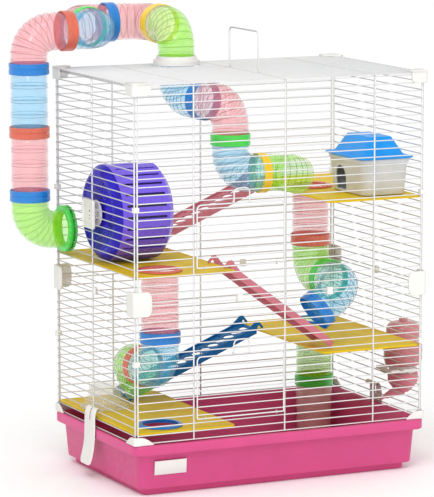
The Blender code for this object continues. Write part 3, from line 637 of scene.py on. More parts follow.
HOLES = {
    "lower_left_platform": ((-0.172, -0.097), "blue"),
    "upper_left_platform": ((-0.172, -0.097), "orange"),
    "upper_right_platform": ((0.129, 0.020), "orange"),
    "lower_right_platform": ((0.180, 0.105), "blue"),
}


def make_platforms():
    """The four platforms, each a deck with a rim and ribs below, and a coloured ring in its round hole."""
    for name, (hole, ring_finish) in HOLES.items():
        low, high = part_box(name)
        centre = ((low.x + high.x) / 2, (low.y + high.y) / 2)
        half_x, half_y = (high.x - low.x) / 2, (high.y - low.y) / 2
        top = high.z
        bm = bmesh.new()
        rings = []
        for inset, z in ((0.0022, low.z), (0.0006, low.z), (0.0, low.z + 0.0006), (0.0, top - 0.0007),
                         (0.0007, top), (0.0022, top), (0.0028, top - 0.0005)):
            rings.append(rounded_rectangle(half_x - inset, half_y - inset, 0.008 - inset, z, 6, centre))
        rim = loft(bm, rings, ends=False)
        deck_top = fill_round_hole(bm, rim[-1], hole, top - 0.0005)
        inner = loft(bm, [rounded_rectangle(half_x - 0.0022, half_y - 0.0022, 0.0058, z, 6, centre)
                          for z in (low.z, top - 0.0019)], ends=False)
        for i in range(len(rim[0])):
            j = (i + 1) % len(rim[0])
            bm.faces.new((rim[0][i], inner[0][i], inner[0][j], rim[0][j]))
        deck_low = fill_round_hole(bm, inner[-1], hole, top - 0.0019)
        for i in range(len(deck_top)):
            j = (i + 1) % len(deck_top)
            bm.faces.new((deck_top[i], deck_top[j], deck_low[j], deck_low[i]))
        bmesh.ops.remove_doubles(bm, verts=bm.verts, dist=1e-6)
        ribs = bmesh.new()
        step = (high.x - low.x) / 5
        for i in range(1, 5):
            x = low.x + step * i
            if abs(x - hole[0]) > RING_R:
                block(ribs, (x - 0.0006, low.y + 0.002, low.z + 0.0003),
                      (x + 0.0006, high.y - 0.002, top - 0.0017))
        merge(bm, ribs)
        piece(f"{name}_deck", bm, "platform", nodes=(name,))

        bm = bmesh.new()
        rise = 0.0032
        turned(bm, [(-0.0022, TUBE_R + 0.0003), (rise * 0.8, TUBE_R - 0.0012), (rise, TUBE_R),
                    (rise, RING_R - 0.0040), (rise * 0.7, RING_R - 0.0026), (0.0002, RING_R - 0.0020),
                    (0.0002, TUBE_R + 0.0008), (-0.0022, TUBE_R + 0.0008)], (*hole, top), Z, 48, closed=True)
        piece(f"{name}_hole_ring", bm, ring_finish)


def fill_round_hole(bm, outer, hole, z, steps=48):
    """Faces from a convex outer ring of vertices in to a round hole; gives the hole's vertices."""
    inner = [bm.verts.new(p) for p in circle(Vector((*hole, z)), X, Y, PLATFORM_HOLE_R, steps)]
    pairs = list(zip(outer, outer[1:] + outer[:1])) + list(zip(inner, inner[1:] + inner[:1]))
    edges = [bm.edges.get(pair) or bm.edges.new(pair) for pair in pairs]
    bmesh.ops.triangle_fill(bm, use_beauty=True, edges=edges)
    return inner


RAMPS = {
    # name: (low platform, high platform, X of the low end, which edge of the high platform, finish)
    "upper_ramp": ("upper_left_platform", "upper_right_platform", -0.118, 0, "dusty"),
    "middle_ramp": ("lower_right_platform", "upper_left_platform", 0.095, 1, "dusty"),
    "lower_ramp": ("lower_left_platform", "lower_right_platform", -0.146, 0, "ramp_blue"),
}


def slab(bm, place, u0, u1, v0, v1, d0, d1):
    """A box in a ramp's own directions."""
    outline = ((u0, v0), (u1, v0), (u1, v1), (u0, v1))
    loft(bm, [[place(u, v, d) for u, v in outline] for d in (d0, d1)])


def make_ramp(name):
    """A deck with a row of holes between two rails whose ends hook over the upper platform."""
    low_name, high_name, low_x, edge, finish = RAMPS[name]
    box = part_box(name)
    y = (box[0].y + box[1].y) / 2
    half = (box[1].y - box[0].y) / 2
    ahead = -1 if edge else 1
    below, above = 0.0060, 0.0046
    low = Vector((low_x, y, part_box(low_name)[1].z + below + 0.0006))
    high = Vector((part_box(high_name)[edge].x - ahead * 0.0020, y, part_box(high_name)[1].z - 0.0010))
    along = (high - low).normalized()
    up = Vector((-along.z * ahead, 0, along.x * ahead))
    length = (high - low).length
    rail = 0.0022

    def place(u, v, depth):
        return low + along * u + Y * v + up * depth

    def over(dx, v, dz):
        return high + Vector((ahead * dx, v, dz))

    bm = bmesh.new()
    inner = half - rail * 0.6
    bays = round(length / 0.0142)
    pitch = (length - 0.0008) / bays
    cells = [(0.0004 + pitch * i, 0.0004 + pitch * (i + 1), -inner, inner, 0.0060, 0.0120, -0.28)
             for i in range(bays)]
    perforated(bm, cells, 0.0014, place)
    sides = bmesh.new()
    for side in (-1, 1):
        rings = []
        for v, trim in ((half - rail, 0.0004), (half - rail + 0.0004, 0.0),
                        (half - 0.0004, 0.0), (half, 0.0004)):
            v *= side
            rings.append([
                place(trim, v, trim - below), place(length - 0.0016, v, trim - below),
                place(length - 0.0004, v, -0.0020), over(0.0008, v, 0.0015), over(0.0042, v, 0.0070),
                over(0.0088, v, 0.0016), over(0.0116, v, 0.0015 + trim), over(0.0118 - trim, v, 0.0036),
                over(0.0046, v, 0.0122 - trim), over(-0.0010, v, 0.0126 - trim),
                place(length - 0.0170, v, above - trim), place(0.0080, v, above - trim),
                place(0.0030 + trim, v, above * 0.55), place(trim, v, -below * 0.3),
            ])
        loft(sides, rings)
    merge(bm, sides)
    ridges = bmesh.new()
    for u in (0.0, length - 0.0034):
        slab(ridges, place, u, u + 0.0034, -inner, inner, -0.0010, 0.0028)
    for i in range(1, bays):
        u = 0.0004 + pitch * i
        for v0, v1 in ((0.0036 - inner, -0.0140), (0.0140, inner - 0.0036)):
            slab(ridges, place, u - 0.0007, u + 0.0007, v0, v1, 0.0012, 0.0027)
    soften(ridges, 0.0004, 1)
    merge(bm, ridges)
    piece(f"{name}_ladder", bm, finish, nodes=(name,), sharp=30)


# ---------------------------------------------------------------- wheel

def make_wheel():
    """The wheel's slatted tread and closed side, and the bracket that carries it on the left wall."""
    low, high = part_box("exercise_wheel")
    y, z = (low.y + high.y) / 2, (low.z + high.z) / 2
    r = (high.z - low.z) / 2
    left, right = low.x, high.x
    length = right - left
    centre = Vector((left, y, z))
    bm = bmesh.new()
    slats = 26
    arc = 2 * math.pi * r / slats

    def place(u, v, depth):
        angle = v / r
        radius = r - 0.0022 + depth
        return centre + X * u + (Y * math.cos(angle) + Z * math.sin(angle)) * radius

    for i in range(slats):
        near, far, following = arc * (i + 0.11), arc * (i + 0.89), arc * (i + 1.11)
        for u0, u1, v0, v1, steps in (
            (0.011, length - 0.013, near, far, 4),
            (0.011, 0.0165, far, following, 1),
            (length - 0.0155, length - 0.013, far, following, 1),
        ):
            turns = [v0 + (v1 - v0) * k / steps for k in range(steps + 1)]
            outline = [(u0, v) for v in turns] + [(u1, v) for v in reversed(turns)]
            loft(bm, [[place(u, v, d) for u, v in outline] for d in (0.0, 0.0020)])
    turned(bm, [(0.0095, r - 0.0025), (0.0112, r - 0.0026), (0.0120, r - 0.0022), (0.0120, r - 0.0002),
                (0.0095, r - 0.0002)], centre, X, 60, closed=True)
    turned(bm, [(length - 0.0140, r - 0.0024), (length - 0.0140, r - 0.0002), (length - 0.0105, r - 0.0002),
                (length - 0.0006, r - 0.0118), (length, r - 0.0125), (length - 0.0012, r - 0.0140),
                (length - 0.0120, r - 0.0026)], centre, X, 60, closed=True)
    piece("wheel_tread", bm, "wheel", "wheel", ("exercise_wheel",))
    # painted shade: a dark sheet just inside the slats, standing in for the shade seen through the slots
    bm = bmesh.new()
    turned(bm, [(0.0105, r - 0.0034), (0.0105, r - 0.0028), (length - 0.0125, r - 0.0028),
                (length - 0.0125, r - 0.0034)], centre, X, 60, closed=True)
    piece("wheel_painted_shade_sheet", bm, "wheel_painted_shade", "wheel")

    bm = bmesh.new()
    bore = 0.0043
    turned(bm, [(0.0, bore), (0.0, 0.014), (0.0012, 0.0155), (0.0012, 0.030), (0.0004, 0.0315),
                (0.0004, 0.0335), (0.0012, 0.0350), (0.0012, r - 0.018), (0.0, r - 0.0150),
                (0.0004, r - 0.0105), (0.0060, r - 0.0036), (0.0100, r - 0.0003), (0.0112, r - 0.0006),
                (0.0108, r - 0.0028), (0.0025, r - 0.0115), (0.0030, r - 0.018), (0.0030, bore)],
           centre, X, 72, closed=True)
    piece("wheel_side_disc", bm, "wheel_side", "wheel")
    bm = bmesh.new()
    spokes = 36
    inner, outer = 0.0165, r - 0.018
    outline = ((inner, -0.0006), (inner, 0.0006), (outer, 0.0013), (outer, -0.0013))
    for i in range(spokes):
        a = 2 * math.pi * i / spokes
        radial = Y * math.cos(a) + Z * math.sin(a)
        across = X.cross(radial)
        points = [centre + radial * reach + across * side for reach, side in outline]
        loft(bm, [[p + X * 0.0008 for p in points], [p + X * 0.0034 for p in points]])
    soften(bm, 0.0004, 1)
    piece("wheel_side_ribs", bm, "wheel_side", "wheel")

    wall = -WALL_X
    bm = bmesh.new()

    def frame_ring(half_y, half_z, radius, x):
        return [Vector((x, y + p.x, z + p.y)) for p in rounded_rectangle(half_y, half_z, radius, 0.0, 5)]

    loft(bm, [
        frame_ring(0.0200, 0.0210, 0.0045, wall - 0.0014), frame_ring(0.0200, 0.0210, 0.0045, wall - 0.0038),
        frame_ring(0.0192, 0.0202, 0.0040, wall - 0.0047), frame_ring(0.0176, 0.0186, 0.0030, wall - 0.0047),
        frame_ring(0.0170, 0.0180, 0.0026, wall - 0.0034),
    ])
    bars = bmesh.new()
    for side in (-1, 1):
        block(bars, (wall - 0.0044, y - 0.0170, z + side * 0.0120 - 0.0007),
              (wall - 0.0032, y + 0.0170, z + side * 0.0120 + 0.0007))
    soften(bars, 0.0003, 1)
    merge(bm, bars)
    disc = [(wall + 0.0014, 0.0070), (wall + 0.0018, 0.0080), (left - 0.0058, 0.0100),
            (left - 0.0050, 0.0180), (left - 0.0044, 0.0192), (left - 0.0020, 0.0196),
            (left - 0.0014, 0.0190), (left - 0.0003, 0.0084), (left - 0.0003, 0.0040),
            (left + 0.0031, 0.0040), (left + 0.0031, 0.0078), (left + 0.0056, 0.0078),
            (left + 0.0061, 0.0066)]
    turned(bm, disc, (0, y, z), X, 40)
    rod(bm, (wall - 0.0036, y, z), (wall + 0.0030, y, z), 0.0040, 20)
    piece("wheel_bracket_body", bm, "white", nodes=("wheel_bracket",))
    bm = bmesh.new()
    for dz, radius in ((0.0050, 0.0013), (-0.0016, 0.0008), (-0.0062, 0.0008)):
        turned(bm, [(0.0, radius), (0.0004, radius * 0.8)], (wall - 0.0036, y - 0.0060, z + dz), -X, 14)
    piece("wheel_bracket_screws", bm, "dark")


# ---------------------------------------------------------------- house

def make_house():
    """The house's walls with a doorway in the left one, and the lid."""
    low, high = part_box("house_body")
    centre = ((low.x + high.x) / 2, (low.y + high.y) / 2)
    half_x, half_y = (high.x - low.x) / 2, (high.y - low.y) / 2
    taper, wall = 0.0055, 0.0022

    def ring(inset, z, radius=0.0125):
        return rounded_rectangle(half_x - inset, half_y - inset, radius, z, 6, centre)

    bm = bmesh.new()
    top = high.z
    loft(bm, [
        ring(taper + 0.0020, low.z), ring(taper + 0.0004, low.z + 0.0008),
        ring(taper - 0.0002, low.z + 0.0026), ring(0.0022, top - 0.0080), ring(0.0012, top - 0.0062),
        ring(0.0002, top - 0.0058), ring(0.0, top - 0.0006), ring(0.0005, top), ring(wall, top),
        ring(wall + 0.0012, top - 0.0070),
        ring(taper + wall, low.z + wall + 0.001), ring(taper + wall + 0.001, low.z + wall),
    ])
    body = piece("house_walls", bm, "house", nodes=("house_body",))
    door_y, arch, door_r = -0.0525, 0.0235, 0.0155
    door = [(-door_r, 0.004 - arch), (door_r, 0.004 - arch)]
    door += [(door_r * math.cos(math.pi * i / 16), door_r * math.sin(math.pi * i / 16)) for i in range(17)]
    cutter = bmesh.new()
    loft(cutter, [[Vector((x, door_y + u, low.z + arch + v)) for u, v in door]
                  for x in (low.x - 0.01, low.x + 0.03)])
    cut_away(body, cutter)

    low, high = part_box("house_lid")
    half_x, half_y = (high.x - low.x) / 2, (high.y - low.y) / 2  # for ring
    z = low.z
    bm = bmesh.new()
    loft(bm, [
        ring(0.0256, high.z, 0.0020), ring(0.0244, high.z - 0.0009, 0.0024), ring(0.0112, z + 0.0052, 0.0030),
        ring(0.0096, z + 0.0040, 0.0034), ring(0.0020, z + 0.0034, 0.0066), ring(-0.0002, z + 0.0028, 0.0080),
        ring(-0.0008, z + 0.0018, 0.0084), ring(-0.0008, z + 0.0006, 0.0084), ring(-0.0002, z, 0.0080),
        ring(0.0032, z, 0.0060), ring(0.0036, z + 0.0016, 0.0060), ring(0.0110, z + 0.0020, 0.0034),
        ring(0.0264, high.z - 0.0022, 0.0020),
    ])
    piece("house_lid_shell", bm, "lid", "house_lid", ("house_lid",), sharp=25)


def cut_away(obj, cutter_bm):
    """Take a solid away from a piece's mesh."""
    cutter = put("cutter", mesh_from("cutter", cutter_bm))
    step = obj.modifiers.new("cut", "BOOLEAN")
    step.operation = "DIFFERENCE"
    step.object = cutter
    step.solver = "EXACT"
    graph = bpy.context.evaluated_depsgraph_get()
    result = bpy.data.meshes.new_from_object(obj.evaluated_get(graph))
    obj.modifiers.clear()
    obj.data = result
    bpy.data.objects.remove(cutter)


# ---------------------------------------------------------------- bottle and dish

def make_bottle():
    """The bottle with its cap and spout, and the clip round its neck."""
    low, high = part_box("water_bottle")
    r = (high.y - low.y) / 2
    x = high.x - r
    y = (low.y + high.y) / 2
    neck_low, neck_high = 0.1238, 0.1336
    shoulder, top = 0.1650, high.z
    bm = bmesh.new()
    turned(bm, [
        (neck_high + 0.0002, 0.0200), (neck_high + 0.0008, 0.0252), (neck_high + 0.0020, 0.0272),
        (0.1400, r - 0.0010), (0.1440, r), (0.1510, r), (0.1516, r - 0.0005), (0.1528, r - 0.0005),
        (0.1534, r), (shoulder - 0.0016, r), (shoulder, r - 0.0008), (shoulder + 0.0010, 0.0266),
        (0.1780, 0.0262), (0.1786, 0.0257), (0.1798, 0.0257), (0.1804, 0.0262), (0.1890, 0.0258),
        (0.1940, 0.0244), (0.1975, 0.0212), (0.1996, 0.0160), (0.2006, 0.0100), (0.2012, 0.0072),
        (top - 0.0020, 0.0062), (top - 0.0005, 0.0044), (top, 0.0020),
    ], (x, y, 0), Z, 40)
    piece("bottle_tank", bm, "bottle", "water_bottle", ("water_bottle",))

    bm = bmesh.new()
    turned(bm, [
        (low.z + 0.0124, 0.0090), (low.z + 0.0150, 0.0120), (0.1000, 0.0166), (0.1060, 0.0212),
        (0.1078, 0.0220, 0.0002), (0.1090, 0.0224, 0.0003), (0.1205, 0.0229, 0.0003),
        (0.1220, 0.0226, 0.0001), (0.1232, 0.0212),
    ], (x, y, 0), Z, 96, lobes=32)
    start = Vector((x - 0.002, y, 0.0968))
    end = Vector((low.x + 0.0020, y, low.z + 0.0024))
    axis = (end - start).normalized()
    reach = (end - start).length
    turned(bm, [(0.0, 0.0095), (0.008, 0.0082), (0.018, 0.0060), (reach - 0.017, 0.0046),
                (reach - 0.0145, 0.0040), (reach - 0.0140, 0.0028), (reach - 0.0040, 0.0024),
                (reach - 0.0036, 0.0020)], start, axis, 20)
    piece("bottle_cap", bm, "dusty", "water_bottle")
    bm = bmesh.new()
    turned(bm, [(reach - 0.0060, 0.0019), (reach - 0.0010, 0.0019), (reach, 0.0015),
                (reach + 0.0003, 0.0007)], start, axis, 18)
    piece("bottle_spout", bm, "steel", "water_bottle")
    bm = bmesh.new()
    turned(bm, [(neck_low - 0.0004, 0.0200), (neck_low, 0.0212), (neck_high - 0.0004, 0.0212),
                (neck_high, 0.0200)], (x, y, 0), Z, 40)
    piece("bottle_neck_ring", bm, "white", "water_bottle")

    low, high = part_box("bottle_clip")
    outer = low.x
    neck, thick = 0.0221, 0.0024
    bm = bmesh.new()
    z_low, z_high = neck_low + 0.0026, neck_high - 0.0026
    for side in (-1, 1):
        arm = bmesh.new()
        block(arm, (outer, y + side * (neck + thick / 2) - thick / 2, z_low),
              (high.x, y + side * (neck + thick / 2) + thick / 2, z_high))
        soften(arm, 0.0007)
        merge(bm, arm)
    plate = bmesh.new()
    loft(plate, [[Vector((px, y + p.x, (z_low + z_high) / 2 + p.y)) for p in
                  rounded_rectangle(0.010 - inset, 0.0050 - inset, 0.003, 0.0, 5)]
                 for inset, px in ((0.0, outer), (0.0, outer + 0.0020), (0.0008, outer + 0.0028))])
    block(plate, (outer + 0.0003, y - neck - 0.0001, z_low), (outer + 0.0024, y + neck + 0.0001, z_high))
    merge(bm, plate)
    piece("bottle_clip_body", bm, "white", nodes=("bottle_clip",))


def make_dish():
    """The clear dish: a bowl on a wide foot."""
    low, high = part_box("food_dish")
    centre = ((low.x + high.x) / 2, (low.y + high.y) / 2, low.z)
    r = (high.x - low.x) / 2
    h = high.z - low.z
    rim = 0.0245
    bm = bmesh.new()
    turned(bm, [
        (0.0, r - 0.0012), (0.0006, r - 0.0002), (0.0020, r), (0.0028, r - 0.0008), (0.0085, r * 0.795),
        (0.0150, rim + 0.0022), (h - 0.0040, rim), (h - 0.0008, rim), (h, rim - 0.0007), (h, rim - 0.0015),
        (h - 0.0010, rim - 0.0022), (0.0150, rim - 0.0008), (0.0080, rim - 0.0010), (0.0042, rim - 0.0050),
        (0.0032, rim * 0.60),
    ], centre, Z, 56)
    piece("food_dish_bowl", bm, "clear", "food_dish", ("food_dish",))


# ---------------------------------------------------------------- latches

def make_latch(name, side):
    """A springy strap with a forked head over the side wire and a tongue that flares out below."""
    low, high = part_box(name)
    y = (low.y + high.y) / 2
    wire_z = 0.1022
    wall = side * WALL_X
    half = (high.y - low.y) / 2
    face = side * (TRAY_X + 0.0003 + 0.0010)
    tip_x = side * (max(abs(low.x), abs(high.x)) - 0.0012)
    path = [
        (wall - side * 0.0036, wire_z - 0.0010, 0.86), (wall - side * 0.0034, wire_z + 0.0022, 0.88),
        (wall - side * 0.0004, wire_z + 0.0042, 0.90), (wall + side * 0.0028, wire_z + 0.0022, 0.92),
        (face, wire_z - 0.0060, 0.94), (face, wire_z - 0.0160, 0.97),
        (face + side * 0.0003, wire_z - 0.0280, 1.0), (face + side * 0.0006, wire_z - 0.0400, 0.97),
        (face + side * 0.0014, wire_z - 0.0500, 0.95), (face + side * 0.0032, wire_z - 0.0600, 0.97),
        (face + side * 0.0056, wire_z - 0.0700, 1.0),
        (tip_x - side * 0.0008, wire_z - 0.0780, 0.92), (tip_x, low.z + 0.0012, 0.62),
    ]
    slot_rows = 5
    slot = 0.0013
    bm = bmesh.new()
    rows = []
    for px, pz, share in path:
        edge = half * share
        between = (edge + slot) / 2
        rows.append([bm.verts.new((px, y + v, pz)) for v in (-edge, -between, -slot, slot, between, edge)])
    for i in range(len(path) - 1):
        for j in range(5):
            if j == 2 and i < slot_rows:
                continue
            bm.faces.new((rows[i][j], rows[i][j + 1], rows[i + 1][j + 1], rows[i + 1][j]))
    obj = piece(f"{name}_strap", bm, "white", name, (name,))
    thick = obj.modifiers.new("thickness", "SOLIDIFY")
    thick.thickness = 0.0022
    thick.offset = 0.0
    round_off = obj.modifiers.new("round", "SUBSURF")
    round_off.levels = 2
    round_off.render_levels = 2
    bm = bmesh.new()
    for k in range(3):
        z = wire_z - 0.0640 - 0.0040 * k
        x = face + side * (0.0047 + 0.0013 * k)
        rod(bm, (x, y - half * 0.48, z), (x, y + half * 0.48, z), 0.0006)
    peg_z = 0.0608
    for peg_y in (y - half * 0.7, y + half * 0.7):
        rod(bm, (side * 0.2330, peg_y, peg_z), (side * 0.2370, peg_y, peg_z), 0.0012)
    piece(f"{name}_grips", bm, "white", name)


# ---------------------------------------------------------------- tubes

def pipe_line(corner, incoming, outgoing, leg_in, leg_out, bend=BEND):
    """A tube's centre line through the corner of its bend.

    Gives its length, where its bend starts and ends, and a map from distance to (centre, across, up).
    """
    incoming, outgoing = Vector(incoming).normalized(), Vector(outgoing).normalized()
    corner = Vector(corner)
    turn = incoming.angle(outgoing)
    normal = incoming.cross(outgoing)
    normal = normal.normalized() if normal.length > 1e-6 else incoming.orthogonal().normalized()
    cut = bend * math.tan(turn / 2)
    straight_in = leg_in - cut
    arc = bend * turn
    total = straight_in + arc + leg_out - cut

    def at(s):
        if s <= straight_in or turn < 1e-6:
            return corner + incoming * (s - leg_in), normal, normal.cross(incoming)
        if s >= straight_in + arc:
            return corner + outgoing * (s - total + leg_out), normal, normal.cross(outgoing)
        angle = (s - straight_in) / bend
        side = normal.cross(incoming)
        heading = incoming * math.cos(angle) + side * math.sin(angle)
        pivot = corner - incoming * cut + side * bend
        return pivot - normal.cross(heading) * bend, normal, normal.cross(heading)

    return total, straight_in, straight_in + arc, at


def tube(name, finish, line, start, end, ribs, nodes=()):
    """A clear tube wall from start to end along its line, with darker raised rings at the given distances."""
    total, bend_start, bend_end, at = line
    end = total if end is None else end
    stations = {start, end}
    if bend_end > bend_start + 1e-6:
        steps = 18
        stations.update(bend_start + (bend_end - bend_start) * i / steps for i in range(steps + 1))
    stations = sorted(s for s in stations if start <= s <= end)
    edge = 0.0005
    wall = [(start, TUBE_R - edge)] + [(s, TUBE_R) for s in stations[1:-1]] + [(end, TUBE_R - edge)]
    wall[1:1] = [(start + edge, TUBE_R)]
    wall[-1:-1] = [(end - edge, TUBE_R)]
    wall += [(s, TUBE_R - TUBE_WALL) for s in reversed(stations)]
    rings = []
    for s, r in wall:
        centre, across, up = at(s)
        rings.append(circle(centre, across, up, r, TUBE_SIDES))
    bm = bmesh.new()
    loft(bm, rings, closed=True)
    shell = piece(name, bm, finish, nodes=nodes, sharp=60)
    bm = bmesh.new()
    for s in ribs:
        rings = []
        for ds, r in ((-RIB_W, TUBE_R - 0.0004), (-RIB_W * 0.4, TUBE_R + RIB_H),
                      (RIB_W * 0.4, TUBE_R + RIB_H), (RIB_W, TUBE_R - 0.0004)):
            centre, across, up = at(s + ds)
            rings.append(circle(centre, across, up, r, TUBE_SIDES))
        loft(bm, rings, closed=True)
    piece(name.replace("_shell", "").replace("_tube", "") + "_ribs", bm, f"{finish}_line")
    return shell


def collar(name, finish, line, s, width=COLLAR_W):
    """A coupling with two rounded bands and a groove between them."""
    centre, across, up = line[3](s)
    heading = across.cross(up)
    half = width / 2
    r = COLLAR_R
    edge = 0.0007
    profile = [
        (-half, r - edge), (-half + edge, r), (-0.0016, r), (-0.0010, r - 0.0006), (0.0010, r - 0.0006),
        (0.0016, r), (half - edge, r), (half, r - edge), (half, TUBE_R + 0.0006),
        (half - 0.002, TUBE_R + 0.0003), (-half + 0.002, TUBE_R + 0.0003), (-half, TUBE_R + 0.0006),
    ]
    bm = bmesh.new()
    turned(bm, profile, centre, heading, 56, closed=True)
    piece(name, bm, finish)


def elbow_ribs(line):
    """Evenly spaced rings round a bend and out to both ends."""
    total, bend_start, bend_end, _ = line
    count = 8
    ribs = [bend_start + (bend_end - bend_start) * (i + 0.5) / count for i in range(count)]
    ribs += [bend_start - 0.0060, bend_end + 0.0060]
    return [s for s in ribs if COLLAR_W * 0.6 < s < total - COLLAR_W * 0.6]


def elbow(node, finish, line, band=None, start=GAP, end=None):
    """An elbow's ribbed shell, with a collar at its far end if it has a band."""
    shell = tube(f"{node}_shell", finish, line, start, end, elbow_ribs(line), (node,))
    if band:
        collar(f"{node}_collar", band, line, line[0])
    return shell


def vents(obj, line, places, towards=(0.55, -0.83, 0)):
    """Small round air holes in a tube's wall, on the side that towards points to."""
    cutter = bmesh.new()
    for s in places:
        centre, across, up = line[3](s)
        heading = across.cross(up)
        direction = Vector(towards)
        direction = (direction - heading * direction.dot(heading)).normalized()
        turned(cutter, [(TUBE_R - 0.006, 0.0017), (TUBE_R + 0.004, 0.0017)], centre, direction, 14)
    cut_away(obj, cutter)


def straight_ribs(start, end):
    """Three pairs of rings along a straight tube, all well inside its ends."""
    start, end = start + 0.004, end - 0.004
    ribs = []
    for i in (1, 2, 3):
        s = start + (end - start) * i / 4
        ribs += [s - 0.0022, s + 0.0022]
    return ribs


def make_outer_tubes():
    """The run from the left wall up and over the roof; gives where it comes in through the roof."""
    riser_low, riser_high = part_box("riser_tube")
    x, y = (riser_low.x + riser_high.x) / 2, (riser_low.y + riser_high.y) / 2
    joint_low = riser_low.z
    joint_high = riser_high.z - COLLAR_W / 2
    run_z = joint_high + LEG_UP
    hole_z = joint_low - LEG_UP

    mouth_x = -0.2265
    line = pipe_line((x, y, hole_z), -X, Z, mouth_x - x, LEG_UP)
    shell = elbow("wall_elbow", "lime", line, start=0.0062)
    vents(shell, line, (line[0] - 0.012,))
    bm = bmesh.new()
    at_wall = line[3](0.0)[0]
    inner, edge, outer, wave = TUBE_R - 0.0016, RING_R - 0.0012, RING_R - 0.0006, 0.0006
    for near, far in ((0.0003, 0.0032), (0.0061, 0.0125)):
        turned(bm, [(near, inner), (near, edge, wave), (near + 0.0008, outer, wave),
                    (far - 0.0008, outer, wave), (far, edge, wave), (far, inner)],
               at_wall, -X, 144, closed=True, lobes=24)
    turned(bm, [(0.0020, inner), (0.0020, TUBE_R + 0.0010), (0.0080, TUBE_R + 0.0010), (0.0080, inner)],
           at_wall, -X, 48, closed=True)
    piece("wall_ring", bm, "green")
    collar("wall_elbow_collar", "blue", line, line[0])

    half = (joint_high - joint_low) / 2
    line = pipe_line((x, y, joint_low + half), Z, Z, half, half)
    middle = line[0] / 2
    for part, finish, start, end, nodes in (
        ("lower", "pink", 0.0003, middle - GAP, ("riser_tube",)),
        ("upper", "sky", middle + GAP, line[0], ()),
    ):
        shell = tube(f"riser_{part}_tube", finish, line, start, end, straight_ribs(start, end), nodes)
        vents(shell, line, [start + (end - start) * k for k in (0.2, 0.4, 0.6, 0.8)])
    collar("riser_middle_collar", "orange", line, middle)
    collar("riser_top_collar", "blue", line, line[0])

    step = 2 * LEG_FLAT
    back = y + step
    for name, finish, band, corner, enter, leave, leg_in, leg_out in (
        ("riser_top_elbow", "pink", "orange", (x, y), Z, X, LEG_UP, LEG_FLAT),
        ("roof_run_elbow_1", "sky", "green", (x + step, y), X, Y, LEG_FLAT, LEG_FLAT),
        ("roof_run_elbow_2", "pink", "blue", (x + step, back), Y, X, LEG_FLAT, LEG_FLAT),
        ("roof_run_elbow_3", "pink", "yellow", (x + 2 * step, back), X, -Y, LEG_FLAT, LEG_FLAT),
        ("roof_entry_elbow", "lime", None, (x + 2 * step, y), -Y, -Z, LEG_FLAT, LEG_UP),
    ):
        line = pipe_line((*corner, run_z), enter, leave, leg_in, leg_out)
        elbow(name, finish, line, band, end=line[0] - GAP)
    bm = bmesh.new()
    turned(bm, [(-0.0040, TUBE_R + 0.0002), (-0.0040, RING_R - 0.001), (-0.0034, RING_R), (0.0030, RING_R),
                (0.0038, RING_R - 0.0010), (0.0044, TUBE_R + 0.0030), (0.0090, TUBE_R + 0.0022),
                (0.0096, TUBE_R + 0.0002)], (x + 2 * step, y, joint_high), Z, 56, closed=True)
    piece("roof_ring", bm, "white")
    return x + 2 * step, y, joint_high


def make_hanging_tubes(x, y, joint):
    """The run that hangs from the roof and ends over the upper right platform."""
    heading = Vector((math.sin(TUBE_ANGLE), -math.cos(TUBE_ANGLE), 0))
    z = joint - LEG_UP
    elbow("roof_drop_elbow", "sky", pipe_line((x, y, z), -Z, heading, LEG_UP, LEG_FLAT), "blue")
    x, y = x + 2 * LEG_FLAT * heading.x, y + 2 * LEG_FLAT * heading.y
    elbow("inner_down_elbow", "pink", pipe_line((x, y, z), heading, -Z, LEG_FLAT, LEG_UP), "green")
    z -= 2 * LEG_UP
    turn_out, exit_in, exit_out, exit_bend = 0.0480, 0.0395, 0.0460, 0.031
    line = pipe_line((x, y, z), -Z, X, LEG_UP, turn_out)
    elbow("inner_turn_elbow", "sky", line)
    collar("inner_turn_elbow_collar", "yellow", line, line[0] + 0.0015, COLLAR_W - 0.003)
    line = pipe_line((x + turn_out + exit_in, y, z), X, -Y, exit_in, exit_out, exit_bend)
    elbow("shelf_exit_elbow", "lime", line)


def make_right_tubes():
    """The run between the two right platforms, and the two-coloured tube below it."""
    low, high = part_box("right_shelf_tube")
    x, y = (low.x + high.x) / 2, (low.y + high.y) / 2
    joint = low.z + COLLAR_W / 2
    half = (high.z - joint) / 2
    line = pipe_line((x, y, joint + half), -Z, -Z, half, half)
    tube("right_shelf_tube_shell", "pink", line, 0.0010, None, straight_ribs(0.0, line[0]),
         ("right_shelf_tube",))
    collar("right_shelf_tube_collar", "orange", line, line[0])
    z = joint - LEG_UP
    elbow("right_turn_elbow", "lime", pipe_line((x, y, z), -Z, -Y, LEG_UP, LEG_FLAT), "green")
    leave = Vector((-math.cos(LANDING_ANGLE), 0, -math.sin(LANDING_ANGLE)))
    line = pipe_line((x, y - 2 * LEG_FLAT, z), -Y, leave, LEG_FLAT, LEG_FLAT)
    elbow("right_landing_elbow", "sky", line, "blue")

    low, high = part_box("right_drop_tube")
    x, y = (low.x + high.x) / 2, (low.y + high.y) / 2
    half = (high.z - low.z) / 2
    line = pipe_line((x, y, low.z + half), -Z, -Z, half, half)
    joint = high.z - 0.0964
    tube("right_drop_upper_tube", "lime", line, 0.0010, joint, straight_ribs(0.0, joint),
         ("right_drop_tube",))
    tube("right_drop_lower_tube", "frost", line, joint + GAP, None, straight_ribs(joint, line[0]))
    collar("right_drop_collar", "green", line, joint)


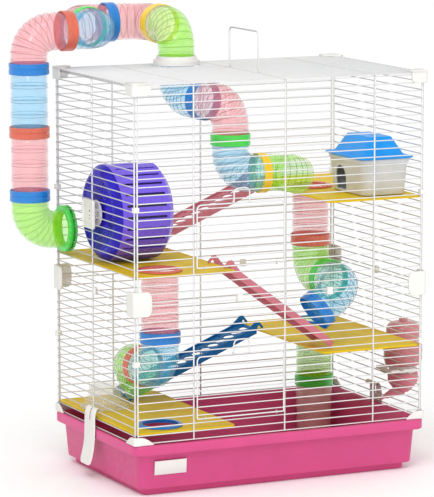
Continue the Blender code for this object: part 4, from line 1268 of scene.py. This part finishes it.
def make_left_tubes():
    """The run from the upper left platform down to the lower one."""
    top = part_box("left_drop_tube")[1].z
    x, y = HOLES["upper_left_platform"][0]
    joint = 0.2225
    z = joint - LEG_UP
    length = top - joint
    line = pipe_line((x, y, z), -Z, Y, top - z, LEG_FLAT)
    tube("left_drop_upper_tube", "pink", line, 0.0010, length - GAP, straight_ribs(0.0, length),
         ("left_drop_tube",))
    ribs = [s for s in elbow_ribs(line) if s > length + 0.010]
    tube("left_drop_elbow_shell", "sky", line, length, None, ribs)
    collar("left_drop_middle_collar", "blue", line, length)
    collar("left_drop_end_collar", "orange", line, line[0])
    leave = Vector((0.5, 0, -math.sqrt(0.75)))
    elbow("left_exit_elbow", "lime", pipe_line((x, y + 2 * LEG_FLAT, z), Y, leave, LEG_FLAT, LEG_UP))


# ---------------------------------------------------------------- stage

def make_stage():
    """A white floor and world, with two soft lights at the front and one overhead."""
    bm = bmesh.new()
    bmesh.ops.create_circle(bm, cap_ends=True, segments=96, radius=14.0)
    mesh = bpy.data.meshes.new("floor")
    bm.to_mesh(mesh)
    bm.free()
    floor = put("floor", mesh)
    mesh.materials.append(surface("FloorPaper", (0.93, 0.93, 0.93), 0.9, mottle=0.01))
    world = bpy.data.worlds.new("studio")
    world.use_nodes = True
    background = world.node_tree.nodes["Background"]
    background.inputs["Color"].default_value = (1.0, 1.0, 1.0, 1.0)
    background.inputs["Strength"].default_value = 0.90
    bpy.context.scene.world = world
    aim = Vector((0.0, 0.0, 0.30))
    for name, place, size, power in (
        ("key", (-1.8, -2.4, 2.4), 0.9, 18.0),
        ("fill", (2.4, -2.2, 1.4), 1.2, 6.0),
    ):
        light = bpy.data.lights.new(name, "AREA")
        light.size = size
        light.energy = power
        lamp = put(name, light)
        lamp.location = place
        lamp.rotation_euler = (aim - Vector(place)).to_track_quat("-Z", "Y").to_euler()
    light = bpy.data.lights.new("overhead", "SUN")
    light.energy = 0.75
    light.angle = math.radians(40)
    lamp = put("overhead", light)
    lamp.rotation_euler = (math.radians(28), math.radians(-18), 0.0)


def make_camera():
    """The camera that was fitted to the photo."""
    data = bpy.data.cameras.new("camera")
    data.lens = LENS
    data.clip_end = 60.0
    camera = put("camera", data)
    camera.location = CAMERA_PLACE
    camera.rotation_euler = (math.radians(90 - CAMERA_DOWN), 0.0, math.radians(CAMERA_TURN))
    scene = bpy.context.scene
    scene.camera = camera
    scene.view_settings.view_transform = "Standard"
    scene.cycles.transparent_max_bounces = 40


make_camera()
make_stage()
make_tray()
make_panels()
make_roof()
make_small_clips()
make_corner_pieces()
make_doors()
make_handle()
make_platforms()
for ramp in RAMPS:
    make_ramp(ramp)
make_wheel()
make_house()
make_bottle()
make_dish()
make_latch("left_latch", -1)
make_latch("right_latch", 1)
make_hanging_tubes(*make_outer_tubes())
make_right_tubes()
make_left_tubes()
